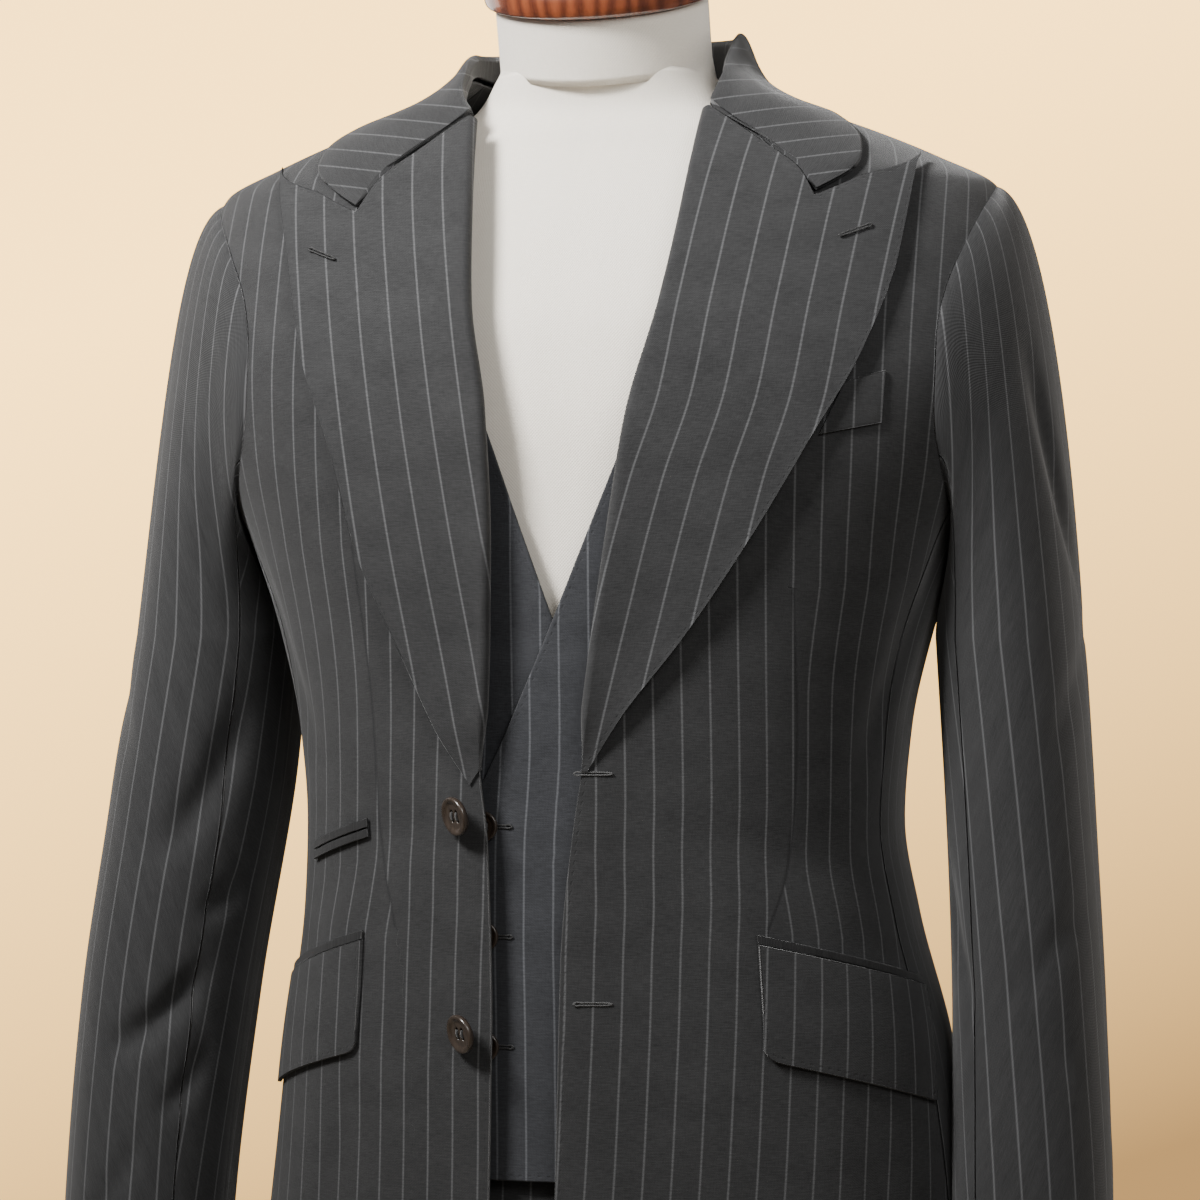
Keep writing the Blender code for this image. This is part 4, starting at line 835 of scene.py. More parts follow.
for side in ("left", "right"):
    rows = WAISTCOAT_EDGE[side]
    heights = np.linspace(rows["z"][0], rows["z"][-1], 9 * FINE + 1)
    vee = front_place(side, along(rows, "x", heights), heights)
    inner_edge = join(vee, straight(vee[-1], (SHOULDER_TURN, STRAP_NECK), 3 * FINE))
    outer_edge = waistcoat_side(0)
    places = patch(inner_edge, outer_edge, straight(inner_edge[0], outer_edge[0], 5 * FINE),
                   straight(inner_edge[-1], outer_edge[-1], 5 * FINE))
    places = closer(trimmed(places, right=HALF_SEAM, top=HALF_SEAM))
    depth = WAISTCOAT_DEPTH
    if side == "right":
        share = np.linspace(1, 0, places.shape[1])[None, :]
        depth = WAISTCOAT_DEPTH + WAISTCOAT_UNDERLAP * np.clip(share * 2, 0, 1)
    cut = cut_from(places)
    depth = depth + creased(cut, WAISTCOAT_CREASES)
    outer = figure(turned(side, places), -depth)
    inner = figure(turned(side, places), -depth - CLOTH)
    cut[..., 0] -= WAISTCOAT_STRIPE[side] + SIGN[side] * along(WAISTCOAT_SWAY, "x", places[..., 1])
    panel(f"{side}_waistcoat_front", outer, inner, cut, waistcoat_worsted, f"waistcoat_front_{side}",
          "waistcoat_worsted", edge=edge_of(outer, left=True, bottom=True))
    outer_edge = waistcoat_side(2 * math.pi)
    centre = straight((math.pi, WAISTCOAT_HEM), (math.pi, WAISTCOAT_NAPE), 12 * FINE)
    neck = straight(centre[-1], (SHOULDER_TURN, STRAP_NECK), 3 * FINE)
    top = join(neck, straight(neck[-1], outer_edge[-1], 3 * FINE))
    places = patch(centre, outer_edge, straight(centre[0], outer_edge[0], 6 * FINE), top)
    places = closer(trimmed(places, left=-HALF_SEAM, right=-HALF_SEAM, top=HALF_SEAM))
    panel(f"{side}_waistcoat_back", figure(turned(side, places), -WAISTCOAT_DEPTH),
          figure(turned(side, places), -WAISTCOAT_DEPTH - CLOTH), cut_from(places, math.pi), satin,
          f"waistcoat_back_{side}", "waistcoat_back_cloth")


# Jacket body
# Two backs, two side bodies and two fronts of the charcoal worsted, sewn edge to edge and open down the
# front. Each front has a dart from under the chest to its pocket; its edge runs into the lapel's roll.
JACKET_HEM, NECK_HEIGHT, SHOULDER_HEIGHT = 0.775, 1.510, 1.445
BREAK_HEIGHT, HEM_CORNER, BLADE_HEIGHT = 1.131, 0.050, 1.300
SHOULDER_GAP = 0.0008
ARMHOLE = {"middle": 1.350, "half_height": 0.095, "back": math.radians(34)}
ARMHOLE_FRONT = {"left": math.radians(41), "right": math.radians(48)}
SIDE_FRONT_HEM, SIDE_BACK_HEM = math.radians(74), math.radians(126)
SIDE_FRONT_END, SIDE_BACK_END = math.radians(150), math.radians(230)
FRONT_EDGE = {
    "left": table("z x", (0.780, -0.004), (0.860, -0.001), (0.959, 0.0023), (1.037, 0.0050), (1.100, 0.0116),
                  (1.131, 0.0165)),
    "right": table("z x", (0.780, 0.037), (0.860, 0.0355), (0.959, 0.0331), (1.010, 0.0321), (1.089, 0.0338),
                   (1.131, 0.0380)),
}
ROLL_LINE = {
    "left": table("z x", (1.131, 0.0165), (1.200, 0.0255), (1.251, 0.0333), (1.318, 0.0435), (1.376, 0.0579),
                  (1.430, 0.0655), (1.483, 0.0693)),
    "right": table("z x", (1.131, 0.0380), (1.200, 0.0360), (1.251, 0.0351), (1.318, 0.0392), (1.376, 0.0500),
                   (1.430, 0.0556), (1.481, 0.0620)),
}
# How far round the cloth the stripes stand at each height, and each dart from its top to the pocket
STRIPE_SWAY = {
    "left": table("z x", (0.775, 0.0150), (0.968, 0.0275), (1.0315, 0.0330), (1.070, 0.0368), (1.120, 0.0388),
                  (1.212, 0.0384), (1.512, 0.0400)),
    "right": table("z x", (0.775, 0.0660), (0.9655, 0.0625), (1.0168, 0.0586), (1.068, 0.0530),
                   (1.119, 0.0487), (1.212, 0.0460), (1.512, 0.0450)),
}
DART = {
    "left": table("z x take", (1.042, 0.1090, 0.0000), (1.084, 0.1204, 0.0060), (1.168, 0.1246, 0.0060),
                  (1.228, 0.1241, 0.0000)),
    "right": table("z x take", (1.042, 0.0950, 0.0000), (1.087, 0.0982, 0.0060), (1.167, 0.1018, 0.0060),
                   (1.249, 0.1112, 0.0000)),
}
# Folds in the cloth as (round, up) to (round, up), width and height, on each side of the jacket
BODY_CREASES = {
    "left": ((0.215, 1.250, 0.165, 1.120, 0.012, -0.0014), (0.235, 1.300, 0.205, 1.170, 0.010, -0.0012),
             (0.060, 1.090, 0.170, 1.075, 0.016, -0.0008), (0.150, 0.960, 0.180, 0.800, 0.016, -0.0012),
             (0.070, 0.930, 0.090, 0.790, 0.020, -0.0010), (0.330, 1.200, 0.400, 1.130, 0.014, -0.0016),
             (0.290, 1.120, 0.380, 1.090, 0.011, -0.0014), (0.440, 1.360, 0.370, 1.290, 0.014, -0.0014),
             (0.420, 1.180, 0.330, 1.110, 0.012, -0.0012)),
    "right": ((0.210, 1.260, 0.150, 1.130, 0.013, -0.0016), (0.235, 1.290, 0.215, 1.140, 0.010, -0.0014),
              (0.055, 1.105, 0.160, 1.060, 0.014, -0.0010), (0.120, 0.970, 0.150, 0.820, 0.015, -0.0012),
              (0.075, 0.900, 0.060, 0.790, 0.018, -0.0010), (0.320, 1.220, 0.400, 1.150, 0.013, -0.0016),
              (0.300, 1.100, 0.370, 1.080, 0.012, -0.0013), (0.450, 1.350, 0.380, 1.270, 0.015, -0.0014),
              (0.410, 1.160, 0.340, 1.120, 0.010, -0.0012)),
}
EDGE_STAND, EDGE_STAND_REACH, EDGE_STAND_TOP, EDGE_STAND_FADE = 0.0042, 0.028, 1.205, 0.09
SIDE_MIDDLE = math.radians(100)
jacket_worsted = worsted("jacket_worsted", *CHARCOAL)


def relief(side, places):
    """Height of the jacket's folds at places of either side, so that what lies on it takes them too. Below
    the break the open edge stands off: a bell of the distance from the edge."""
    z = places[..., 1]
    folds = creased(cut_from(np.abs(places)), BODY_CREASES[side])
    reach = looked_up(ROUND, np.abs(places[..., 0]), z) - looked_up(ROUND, FRONT_EDGE_TURN[side](z), z)
    stand = EDGE_STAND * np.exp(-(np.maximum(reach, 0) / EDGE_STAND_REACH) ** 2)
    return folds + stand * eased((EDGE_STAND_TOP - z) / EDGE_STAND_FADE)


def front_line(side):
    """Turn of a front's open edge and roll line as a function of height."""
    edge, roll_rows = FRONT_EDGE[side], ROLL_LINE[side]
    z = np.concatenate([edge["z"], roll_rows["z"][1:]])
    turn = front_place(side, np.concatenate([edge["x"], roll_rows["x"][1:]]), z)[..., 0]
    return lambda height: np.interp(height, z, turn)


FRONT_EDGE_TURN = {side: front_line(side) for side in ("left", "right")}


def armhole(side, angle):
    """Places on the jacket's armhole at given angles round it."""
    return oval(angle, front=ARMHOLE_FRONT[side], **ARMHOLE)


def side_seam(side, hem_turn, end):
    """Seam of the side body, from the hem up to its angle on the armhole."""
    return straight((hem_turn, JACKET_HEM), armhole(side, end), 9 * FINE)


def shoulder_seam(gap):
    """Seam along the top of the shoulder, from the neck outwards, turned aside by half its gap."""
    turn = SHOULDER_TURN + gap
    return straight((turn, NECK_HEIGHT), (turn, SHOULDER_HEIGHT), 7 * FINE)


def down_front(side, rows, heights):
    """Places on the front along a table of heights and distances from the middle."""
    return front_place(side, along(rows, "x", heights), heights)


def neck_front(side, count):
    """Neck edge of the front, from the top of the roll line round to the shoulder seam."""
    start = down_front(side, ROLL_LINE[side], ROLL_LINE[side]["z"][-1:])[0]
    t = np.linspace(0, 1, count + 1)
    height = start[1] + (NECK_HEIGHT - start[1]) * (1 - (1 - t) ** 2)
    return np.stack([start[0] + (SHOULDER_TURN - start[0]) * t, height], -1)


def body_panel(part, side, places, cut, flat, dart=None, **edges):
    """Panel on the jacket's face: its outer wall takes the folds, its inner wall follows it."""
    folds = relief(side, places)
    outer = figure(turned(side, places), folds)
    inner = figure(turned(side, places), folds - CLOTH)
    panel(f"{side}_jacket_{part}", outer, inner, cut, jacket_worsted, f"jacket_{part}_{side}",
          "jacket_worsted", dart=dart, edge=edge_of(outer, **edges))


for side in ("left", "right"):
    seam = side_seam(side, SIDE_BACK_HEM, SIDE_BACK_END)
    outer_edge = join(seam, armhole(side, np.linspace(SIDE_BACK_END, 2 * math.pi, 6 * FINE + 1)))
    upper = 1 - (1 - np.linspace(0, 1, 6 * FINE + 1)) ** 1.6
    heights = np.concatenate([np.linspace(JACKET_HEM, BLADE_HEIGHT, 9 * FINE + 1),
                              BLADE_HEIGHT + (NECK_HEIGHT - BLADE_HEIGHT) * upper[1:]])
    centre = np.stack([np.full(len(heights), math.pi), heights], -1)
    neck = straight((math.pi, NECK_HEIGHT), (SHOULDER_TURN, NECK_HEIGHT), 3 * FINE)
    top = join(neck, shoulder_seam(SHOULDER_GAP))
    places = patch(centre, outer_edge, straight(centre[0], outer_edge[0], 10 * FINE), top)
    places = closer(trimmed(places, left=-HALF_SEAM, right=-HALF_SEAM))
    body_panel("back", side, places, cut_from(places, math.pi) + (PITCH / 2, 0), (0.30, 0.78))
    front_seam = side_seam(side, SIDE_FRONT_HEM, SIDE_FRONT_END)
    side_top = armhole(side, np.linspace(SIDE_FRONT_END, SIDE_BACK_END, 4 * FINE + 1))
    places = patch(front_seam, seam, straight(front_seam[0], seam[0], 4 * FINE), side_top)
    places = closer(trimmed(places, left=HALF_SEAM, right=HALF_SEAM))
    body_panel("side", side, places, cut_from(places, SIDE_MIDDLE), (0.16, 0.50))
    outer_edge = join(front_seam, armhole(side, np.linspace(SIDE_FRONT_END, 0, 7 * FINE + 1)))
    corner = np.linspace(0, math.pi / 2, 3 * FINE + 1)
    corner_top = JACKET_HEM + HEM_CORNER
    edge_x = float(along(FRONT_EDGE[side], "x", corner_top))
    low = front_place(side, edge_x + HEM_CORNER * (1 - np.sin(corner)),
                      corner_top - HEM_CORNER * np.cos(corner))
    edge = down_front(side, FRONT_EDGE[side], np.linspace(corner_top, BREAK_HEIGHT, 4 * FINE + 1))
    roll_top = ROLL_LINE[side]["z"][-1]
    roll = down_front(side, ROLL_LINE[side], np.linspace(BREAK_HEIGHT, roll_top, 6 * FINE + 1))
    inner_edge = join(low, edge, roll, neck_front(side, 3 * FINE))
    places = patch(inner_edge, outer_edge, straight(inner_edge[0], outer_edge[0], 7 * FINE),
                   shoulder_seam(-SHOULDER_GAP))
    places = closer(trimmed(places, right=HALF_SEAM))
    z, dart_z = places[..., 1], DART[side]["z"]
    cut = cut_from(places)
    cut[..., 0] -= along(STRIPE_SWAY[side], "x", z)
    # past the dart's ends its distance grows to four times the height beyond them, which hides its ditch
    beyond = np.clip(dart_z[0] - z, 0, 1) + np.clip(z - dart_z[-1], 0, 1)
    from_dart = figure(places)[..., 0] - along(DART[side], "x", z)
    from_dart = np.sign(from_dart) * np.maximum(np.abs(from_dart), 4 * beyond)
    dart = np.stack([from_dart, along(DART[side], "take", z)], -1)
    body_panel("front", side, places, cut, (0.34, 0.78), dart=dart, left=True, bottom=True)


# Lapels
# Broad peaked lapels, cut in one with the facing: each turns back over the front along its roll line,
# rolls softly there and lies flat towards its pricked edge. Its top is the gorge, the notch and the peak.
LAPEL_CLOTH = 0.0022
LAPEL_EDGE = {
    "left": table("z x", (1.131, 0.0195), (1.160, 0.0377), (1.201, 0.0691), (1.248, 0.0998), (1.299, 0.1298),
                  (1.352, 0.1588), (1.398, 0.1731), (1.455, 0.1800)),
    "right": table("z x", (1.123, 0.0430), (1.149, 0.0596), (1.196, 0.0817), (1.245, 0.1035), (1.299, 0.1198),
                   (1.348, 0.1395), (1.398, 0.1529), (1.455, 0.1700)),
}
GORGE_END = {"left": (0.1301, 1.4341), "right": (0.1170, 1.4300)}
COLLAR_CORNER = {"left": (0.1490, 1.4475), "right": (0.1385, 1.4450)}
# The stripes on a lapel follow one curve: how far out each stands at a height, and the first stripe
LAPEL_GRAIN = {
    "left": table("z x", (1.120, -0.0410), (1.200, -0.0215), (1.283, 0.0000), (1.3285, 0.0142),
                  (1.377, 0.0218), (1.440, 0.0310), (1.4774, 0.0364)),
    "right": table("z x", (1.120, -0.0270), (1.262, 0.0000), (1.345, 0.0151), (1.427, 0.0302),
                   (1.480, 0.0395)),
}
LAPEL_STRIPE = {"left": 0.0431, "right": 0.0538}
LAPEL_PITCH = {"left": 0.0166, "right": 0.0172}
ROLL_OUT, ROLL_DRAW = 0.0034, 0.0006
ROLL_TOP_GAP, NOTCH_DROP, STEP_OUT, STEP_DROP = 0.0015, 0.0028, 0.003, 0.0055
LAPEL_REST, LAPEL_SPRING, LAPEL_THIN = 0.0006, 0.0007, 0.35
# How far a lapel stands off: along its roll, more so low down, and along its edge with a fuller belly
ROLL_LIFT, ROLL_LIFT_LOW = 0.0022, 0.0012
EDGE_LIFT, BELLY_LIFT, BELLY_AT, BELLY_SPREAD = 0.0016, 0.0034, 0.38, 0.24
for side in ("left", "right"):
    lapel_worsted = worsted(f"{side}_lapel_worsted", *CHARCOAL, LAPEL_PITCH[side])
    roll_rows, edge_rows = ROLL_LINE[side], LAPEL_EDGE[side]
    heights = np.linspace(roll_rows["z"][0], roll_rows["z"][-1] - ROLL_TOP_GAP, 17 * FINE)
    roll = down_front(side, roll_rows, heights)
    edge = down_front(side, edge_rows, np.linspace(edge_rows["z"][0], edge_rows["z"][-1], len(roll)))
    notch = front_place(side, GORGE_END[side][0], GORGE_END[side][1] - NOTCH_DROP)
    step = front_place(side, COLLAR_CORNER[side][0] + STEP_OUT, COLLAR_CORNER[side][1] - STEP_DROP)
    top = join(straight(roll[-1], notch, 28), straight(notch, step, 8), straight(step, edge[-1], 12))
    # blended as distances out and heights, which stay even up to the neck, where turns bunch up
    sides = [np.stack([SIGN[side] * figure(turned(side, line))[..., 0], line[..., 1]], -1)
             for line in (roll, edge, straight(roll[0], edge[0], 48), top)]
    level = patch(*sides)
    places = front_place(side, level[..., 0], level[..., 1])
    u = np.linspace(0, 1, 49)[None, :]
    v = np.linspace(0, 1, len(places))[:, None]
    spring = eased(v / 0.10)
    cloth = LAPEL_CLOTH * (LAPEL_THIN + (1 - LAPEL_THIN) * spring)
    rolled = (ROLL_LIFT + ROLL_LIFT_LOW * (1 - v)) * (1 - u) ** 3
    belly = (EDGE_LIFT + BELLY_LIFT * np.exp(-((v - BELLY_AT) / BELLY_SPREAD) ** 2)) * u ** 2
    lift = LAPEL_REST + (LAPEL_SPRING + rolled + belly) * spring
    # the roll goes on from the flat part as half a turn of a flattened circle, in and under
    phi = np.linspace(0, math.pi, 11)[1:][None, ::-1]
    walls = []
    for depth in (0.0, 1.0):
        top_lift = lift[:, :1] + cloth * (1 - depth)
        bottom_lift = -CLOTH + cloth * depth
        middle, half = (top_lift + bottom_lift) / 2, (top_lift - bottom_lift) / 2
        out = (0.0003 + ROLL_OUT - 0.6 * cloth * depth) * np.sin(phi) * spring
        out = out + ROLL_DRAW * (1 - np.cos(phi)) / 2
        under = front_place(side, along(roll_rows, "x", places[:, :1, 1]) - out, places[:, :1, 1] + 0 * out)
        walls.append((np.concatenate([under, places], 1),
                      np.concatenate([middle + half * np.cos(phi), lift + cloth * (1 - depth)], 1)))
    folds = relief(side, walls[0][0])
    outer, inner = (figure(turned(side, wall), lifts + folds) for wall, lifts in walls)
    across = figure(places)[..., 0] - along(LAPEL_GRAIN[side], "x", places[..., 1]) - LAPEL_STRIPE[side]
    before = across[:, :1] - np.linspace(0.011, 0.001, 10)[None, :]
    cut = np.stack([np.concatenate([before, across], 1), walls[0][0][..., 1]], -1)
    stack = closer(np.concatenate([outer, inner, cut, edge_of(outer, right=True, top=True)], -1))
    panel(f"{side}_lapel", stack[..., :3], stack[..., 3:6], stack[..., 6:8], lapel_worsted,
          f"jacket_lapel_{side}", "jacket_worsted", edge=stack[..., 8:10])


# Collar
# One folded strip from gorge to gorge: the stand rises from the neck seam and the fall turns down over
# it. Its stripes cross its length behind and lie nearly level in front.
COLLAR_RISE, COLLAR_RISE_BACK, COLLAR_RISE_FRONT = {"left": 0.022, "right": 0.014}, 0.029, 0.0045
COLLAR_ROLL = 2.6
COLLAR_SHOULDER, COLLAR_NAPE, COLLAR_BOW = (SHOULDER_TURN, 1.4905), (math.pi, 1.4850), 0.010
COLLAR_GORGE_SHARE = 0.72
COLLAR_STATIONS = 72
COLLAR_STRIPE_RATE, COLLAR_STRIPE_TOP, COLLAR_STRIPE_TILT = 1.40, 1.5300, 0.16
COLLAR_BACK_START, COLLAR_BACK_FADE = 0.42, 0.20
COLLAR_SPINE = 30
COLLAR_SECTION = table(
    "share rise up lift",
    (0.00, 0.0, 0.0019, -0.0024),
    (0.00, 0.5, 0.0012, -0.0023),
    (0.00, 1.0, -0.0012, -0.0020),
    (0.00, 1.0, 0.0016, 0.0008),
    (0.05, 1.0, 0.0006, 0.0034),
    (0.30, 1.0, 0.0000, 0.0042),
    (0.65, 1.0, 0.0000, 0.0043),
    (1.00, 1.0, 0.0000, 0.0036),
    (1.00, 1.0, 0.0000, 0.0014),
    (0.65, 1.0, 0.0000, 0.0022),
    (0.30, 1.0, 0.0000, 0.0021),
    (0.05, 1.0, -0.0022, 0.0014),
    (0.00, 1.0, -0.0034, 0.0000),
    (0.00, 0.5, 0.0012, -0.0003),
    (0.00, 0.0, 0.0019, -0.0004),
)


def rounded_loop(values, steps):
    """Closed curve through the values: each stretch is a cubic whose slopes are half its neighbours' span."""
    before, here, after, then = (np.roll(values, k)[:, None] for k in (1, 0, -1, -2))
    t = np.linspace(0, 1, steps, endpoint=False)[None, :]
    curve = here + t * (after - before) / 2 + t * t * (2 * before - 5 * here + 4 * after - then) / 2
    return (curve + t ** 3 * (3 * here - before - 3 * after + then) / 2).ravel()


def collar_half(side):
    """Sections of half the collar, from its front end to the nape, over the foot and the edge lines."""
    foot = join(neck_front(side, COLLAR_STATIONS),
                straight((SHOULDER_TURN, NECK_HEIGHT), (math.pi, NECK_HEIGHT), COLLAR_STATIONS))
    corner = front_place(side, *COLLAR_CORNER[side])
    t = np.linspace(0, 1, COLLAR_STATIONS + 1)[:, None]
    bow = np.array([0.0, COLLAR_BOW]) * np.sin(math.pi * t)
    edge = join(corner + (COLLAR_SHOULDER - corner) * t + bow,
                straight(COLLAR_SHOULDER, COLLAR_NAPE, COLLAR_STATIONS))
    share, up, lift, rise_share = (rounded_loop(COLLAR_SECTION[name], 5)[None, :]
                                   for name in ("share", "up", "lift", "rise"))
    share = np.clip(share, 0, 1)
    t = np.linspace(0, 1, len(foot))[:, None]
    rise = (COLLAR_RISE_FRONT + (COLLAR_RISE[side] - COLLAR_RISE_FRONT) * np.clip(2 * t, 0, 1)
            + (COLLAR_RISE_BACK - COLLAR_RISE[side]) * np.clip(2 * t - 1, 0, 1))
    gorge = front_place(side, *GORGE_END[side])
    near = foot[0] + (gorge - foot[0]) * np.minimum(share / COLLAR_GORGE_SHARE, 1).T
    near = near + (edge[0] - gorge) * np.clip((share - COLLAR_GORGE_SHARE) / (1 - COLLAR_GORGE_SHARE), 0, 1).T
    line = foot[:, None] + (edge - foot)[:, None] * share[..., None]
    fade = np.clip(1 - t * 13 / 3, 0, 1)[..., None]
    places = line * (1 - fade) + near[None] * fade
    height = rise * np.clip(rise_share, 0, 1) * (1 - share) ** COLLAR_ROLL + up
    standing = figure(turned(side, places), lift, level=True)
    lying = figure(turned(side, places), lift)
    lie = eased((share - 0.10) / 0.20)[..., None]
    points = standing * (1 - lie) + lying * lie
    points[..., 2] += height
    return points


left_half, right_half = collar_half("left"), collar_half("right")
strip = np.concatenate([left_half, right_half[-2::-1]])
first_cap, last_cap = (end.mean(1, keepdims=True) + 0 * end for end in (strip[:1], strip[-1:]))
points, blocks = skinned(np.concatenate([first_cap, strip, last_cap]))
run = lengths(strip[:, COLLAR_SPINE], 0)
run = (run - run[-1] / 2)[:, None]
# in front the stripes lie nearly level, rising a little outwards; behind they cross the collar's length
from_front = 1 - np.abs(np.linspace(-1, 1, len(strip)))[:, None]
share_back = eased((from_front - COLLAR_BACK_START) / COLLAR_BACK_FADE)
below = COLLAR_STRIPE_TOP - strip[..., 2] + COLLAR_STRIPE_TILT * np.abs(strip[..., 0])
across_collar = COLLAR_STRIPE_RATE * below * np.sign(run) * (1 - share_back) + run * share_back
collar_cut = np.stack([across_collar, lengths(strip, 1)], -1).reshape(-1, 2)
collar_cut = np.concatenate([collar_cut, collar_cut[[0, -1]]])
far = np.zeros_like(collar_cut) + (1.0, 0.0)
collar = piece("collar", points, blocks, jacket_worsted, ["jacket_collar"], "jacket_worsted", cut=collar_cut,
               dart=far, edge=far)


# Pockets
# Slanted hip pockets with a flap under a narrow jet, a ticket pocket with two jets above the right one,
# and a slanted breast welt. Flaps and welt are cut so that their stripes run on from the front's.
HIP_POCKET = {
    "left": {"front": (0.105, 1.0410), "back": (0.1800, 1.0130), "drop": 0.060},
    "right": {"front": (0.1085, 1.0390), "back": (0.1660, 1.0130), "drop": 0.060},
}
TICKET_POCKET = {"front": (0.1053, 1.0990), "back": (0.1440, 1.0840)}
WELT = {"front_low": (0.1375, 1.3055), "back_low": (0.1680, 1.3120), "rise": 0.0275, "slant": 0.0125,
        "back_slant": 0.0020}
FLAP_CLOTH, JET_CLOTH, REST = 0.0022, 0.0012, 0.0009
FLAP_FLARE, FLAP_CORNER = 0.004, 0.005
LAID_FULLNESS = 0.0005
WELT_CLOTH, WELT_REST = 0.00132, 0.0004
# The jets' worsted is darker than the jacket's and shows no stripes: its darkness is painted shade for the
# dark lines at the pocket mouths
shaded_jet_worsted = worsted("shaded_jet_worsted", (0.0053, 0.0053, 0.0056), *[(0.0165, 0.0165, 0.017)] * 2)


def laid(name, side, places, lift, thickness, node, flat, jet=False, **edges):
    """Small piece on the front: the front's own points moved out, a little fuller towards its middle. A jet
    is cut between two stripes, so that it shows none."""
    places = closer(places)
    u = np.linspace(-1, 1, places.shape[1])[None, :]
    v = np.linspace(-1, 1, places.shape[0])[:, None]
    full = LAID_FULLNESS * (1 - u ** 4) * (1 - v ** 4)
    folds = relief(side, places)
    outer = figure(turned(side, places), folds + lift + thickness + full)
    inner = figure(turned(side, places), folds + lift)
    cut = cut_from(places)
    # a jet takes the darker worsted, whose darkness is painted shade
    if jet:
        cut = np.stack([np.full_like(cut[..., 0], PITCH / 2), cut[..., 0]], -1)
    else:
        cut[..., 0] -= along(STRIPE_SWAY[side], "x", places[..., 1])
    panel(name, outer, inner, cut, shaded_jet_worsted if jet else jacket_worsted, node, "jacket_worsted",
          edge=edge_of(outer, **edges))


def slanted(side, front, back, low, high, count):
    """Narrow strip along a slanted line, between two heights above it."""
    mouth = straight(front_place(side, *front), front_place(side, *back), count)
    return stacked(mouth[None, :, 0], mouth[None, :, 1] + np.linspace(low, high, 5)[:, None])


for side in ("left", "right"):
    front, back, drop = (HIP_POCKET[side][key] for key in ("front", "back", "drop"))
    mouth = straight(front_place(side, *front), front_place(side, *back), 42)
    foot = straight(front_place(side, front[0] + FLAP_FLARE, front[1] - drop),
                    front_place(side, back[0] + 2 * FLAP_FLARE, back[1] - drop), 42)
    # the lower front corner is rounded off: the foot rises by a quarter circle over its first few cells
    corner = np.clip(1 - np.arange(43) / 3, 0, 1)
    foot[:, 1] += FLAP_CORNER * (1 - np.sqrt(1 - corner ** 2))
    v = np.linspace(0, 1, 33)[:, None, None]
    laid(f"{side}_hip_flap", side, foot[None] * (1 - v) + mouth[None] * v, REST, FLAP_CLOTH,
         f"hip_flap_{side}", (0.10, 0.066), left=True, bottom=True, right=True)
    laid(f"{side}_hip_jet", side, slanted(side, front, back, 0.0003, 0.0050, 40), REST, JET_CLOTH,
         f"hip_jet_{side}", (0.078, 0.010), jet=True)
for level, low, high in (("upper", 0.0004, 0.0050), ("lower", -0.0050, -0.0004)):
    strip = slanted("right", TICKET_POCKET["front"], TICKET_POCKET["back"], low, high, 28)
    laid(f"ticket_{level}_jet", "right", strip, REST, JET_CLOTH, f"ticket_jet_{level}", (0.042, 0.010),
         jet=True)
u = np.linspace(0, 1, 25)[None, :]
v = np.linspace(0, 1, 17)[:, None]
low_x, low_z = WELT["front_low"]
back_x, back_z = WELT["back_low"]
slant = WELT["slant"] * (1 - u) + WELT["back_slant"] * u
welt = front_place("left", low_x + (back_x - low_x) * u + slant * v,
                   low_z + (back_z - low_z) * u + WELT["rise"] * v)
laid("breast_pocket_welt", "left", welt, WELT_REST, WELT_CLOTH, "breast_welt", (0.036, 0.034))


# Sleeves
# Each is two panels, a broad top sleeve and a narrow under sleeve, sewn into a tube and set into the
# armhole with a little fullness at its head. The elbow bends forward, and the cuff is open at its end.
SLEEVE = {
    "left": table(
        "z x y half_width half_depth",
        (0.835, 0.2395, -0.034, 0.043, 0.050),
        (0.900, 0.2385, -0.026, 0.043, 0.053),
        (1.000, 0.2358, -0.014, 0.041, 0.058),
        (1.110, 0.2300, -0.004, 0.040, 0.063),
        (1.200, 0.2240, 0.002, 0.040, 0.067),
    ),
    "right": table(
        "z x y half_width half_depth",
        (0.835, 0.2585, -0.034, 0.046, 0.050),
        (0.900, 0.2563, -0.026, 0.047, 0.053),
        (1.000, 0.2490, -0.014, 0.049, 0.058),
        (1.110, 0.2340, -0.004, 0.050, 0.063),
        (1.200, 0.2235, 0.002, 0.046, 0.067),
    ),
}
SLEEVE_POWER = 2.1
SLEEVE_TOP = 1.200
SLEEVE_SEAM_FRONT, SLEEVE_SEAM_BACK = math.radians(125), math.radians(232)
SLEEVE_CLEAR = 0.0016
SLEEVE_ROUND = 0.056
SLEEVE_SEAM_GAP = 0.003
SLEEVE_STRIPE = 0.003
# The cubic of a sleeve's cap: how far out it starts, and more so on top, how far it leans at its end, and
# how its rows crowd towards the armhole
CAP_OUT, CAP_OUT_TOP, CAP_LEAN, CAP_CROWD = 0.085, 0.02, 0.48, 1.15
# The fan of the stripes over a sleeve's head: its axis in from the arm's, the length for each radian past
# the seams, and the rows on each side over which the change is evened out
FAN_IN, FAN_RATE, FAN_ROWS = 0.045, 0.10, 13
SLEEVE_PITCHED = {"left": -0.08, "right": -0.05}
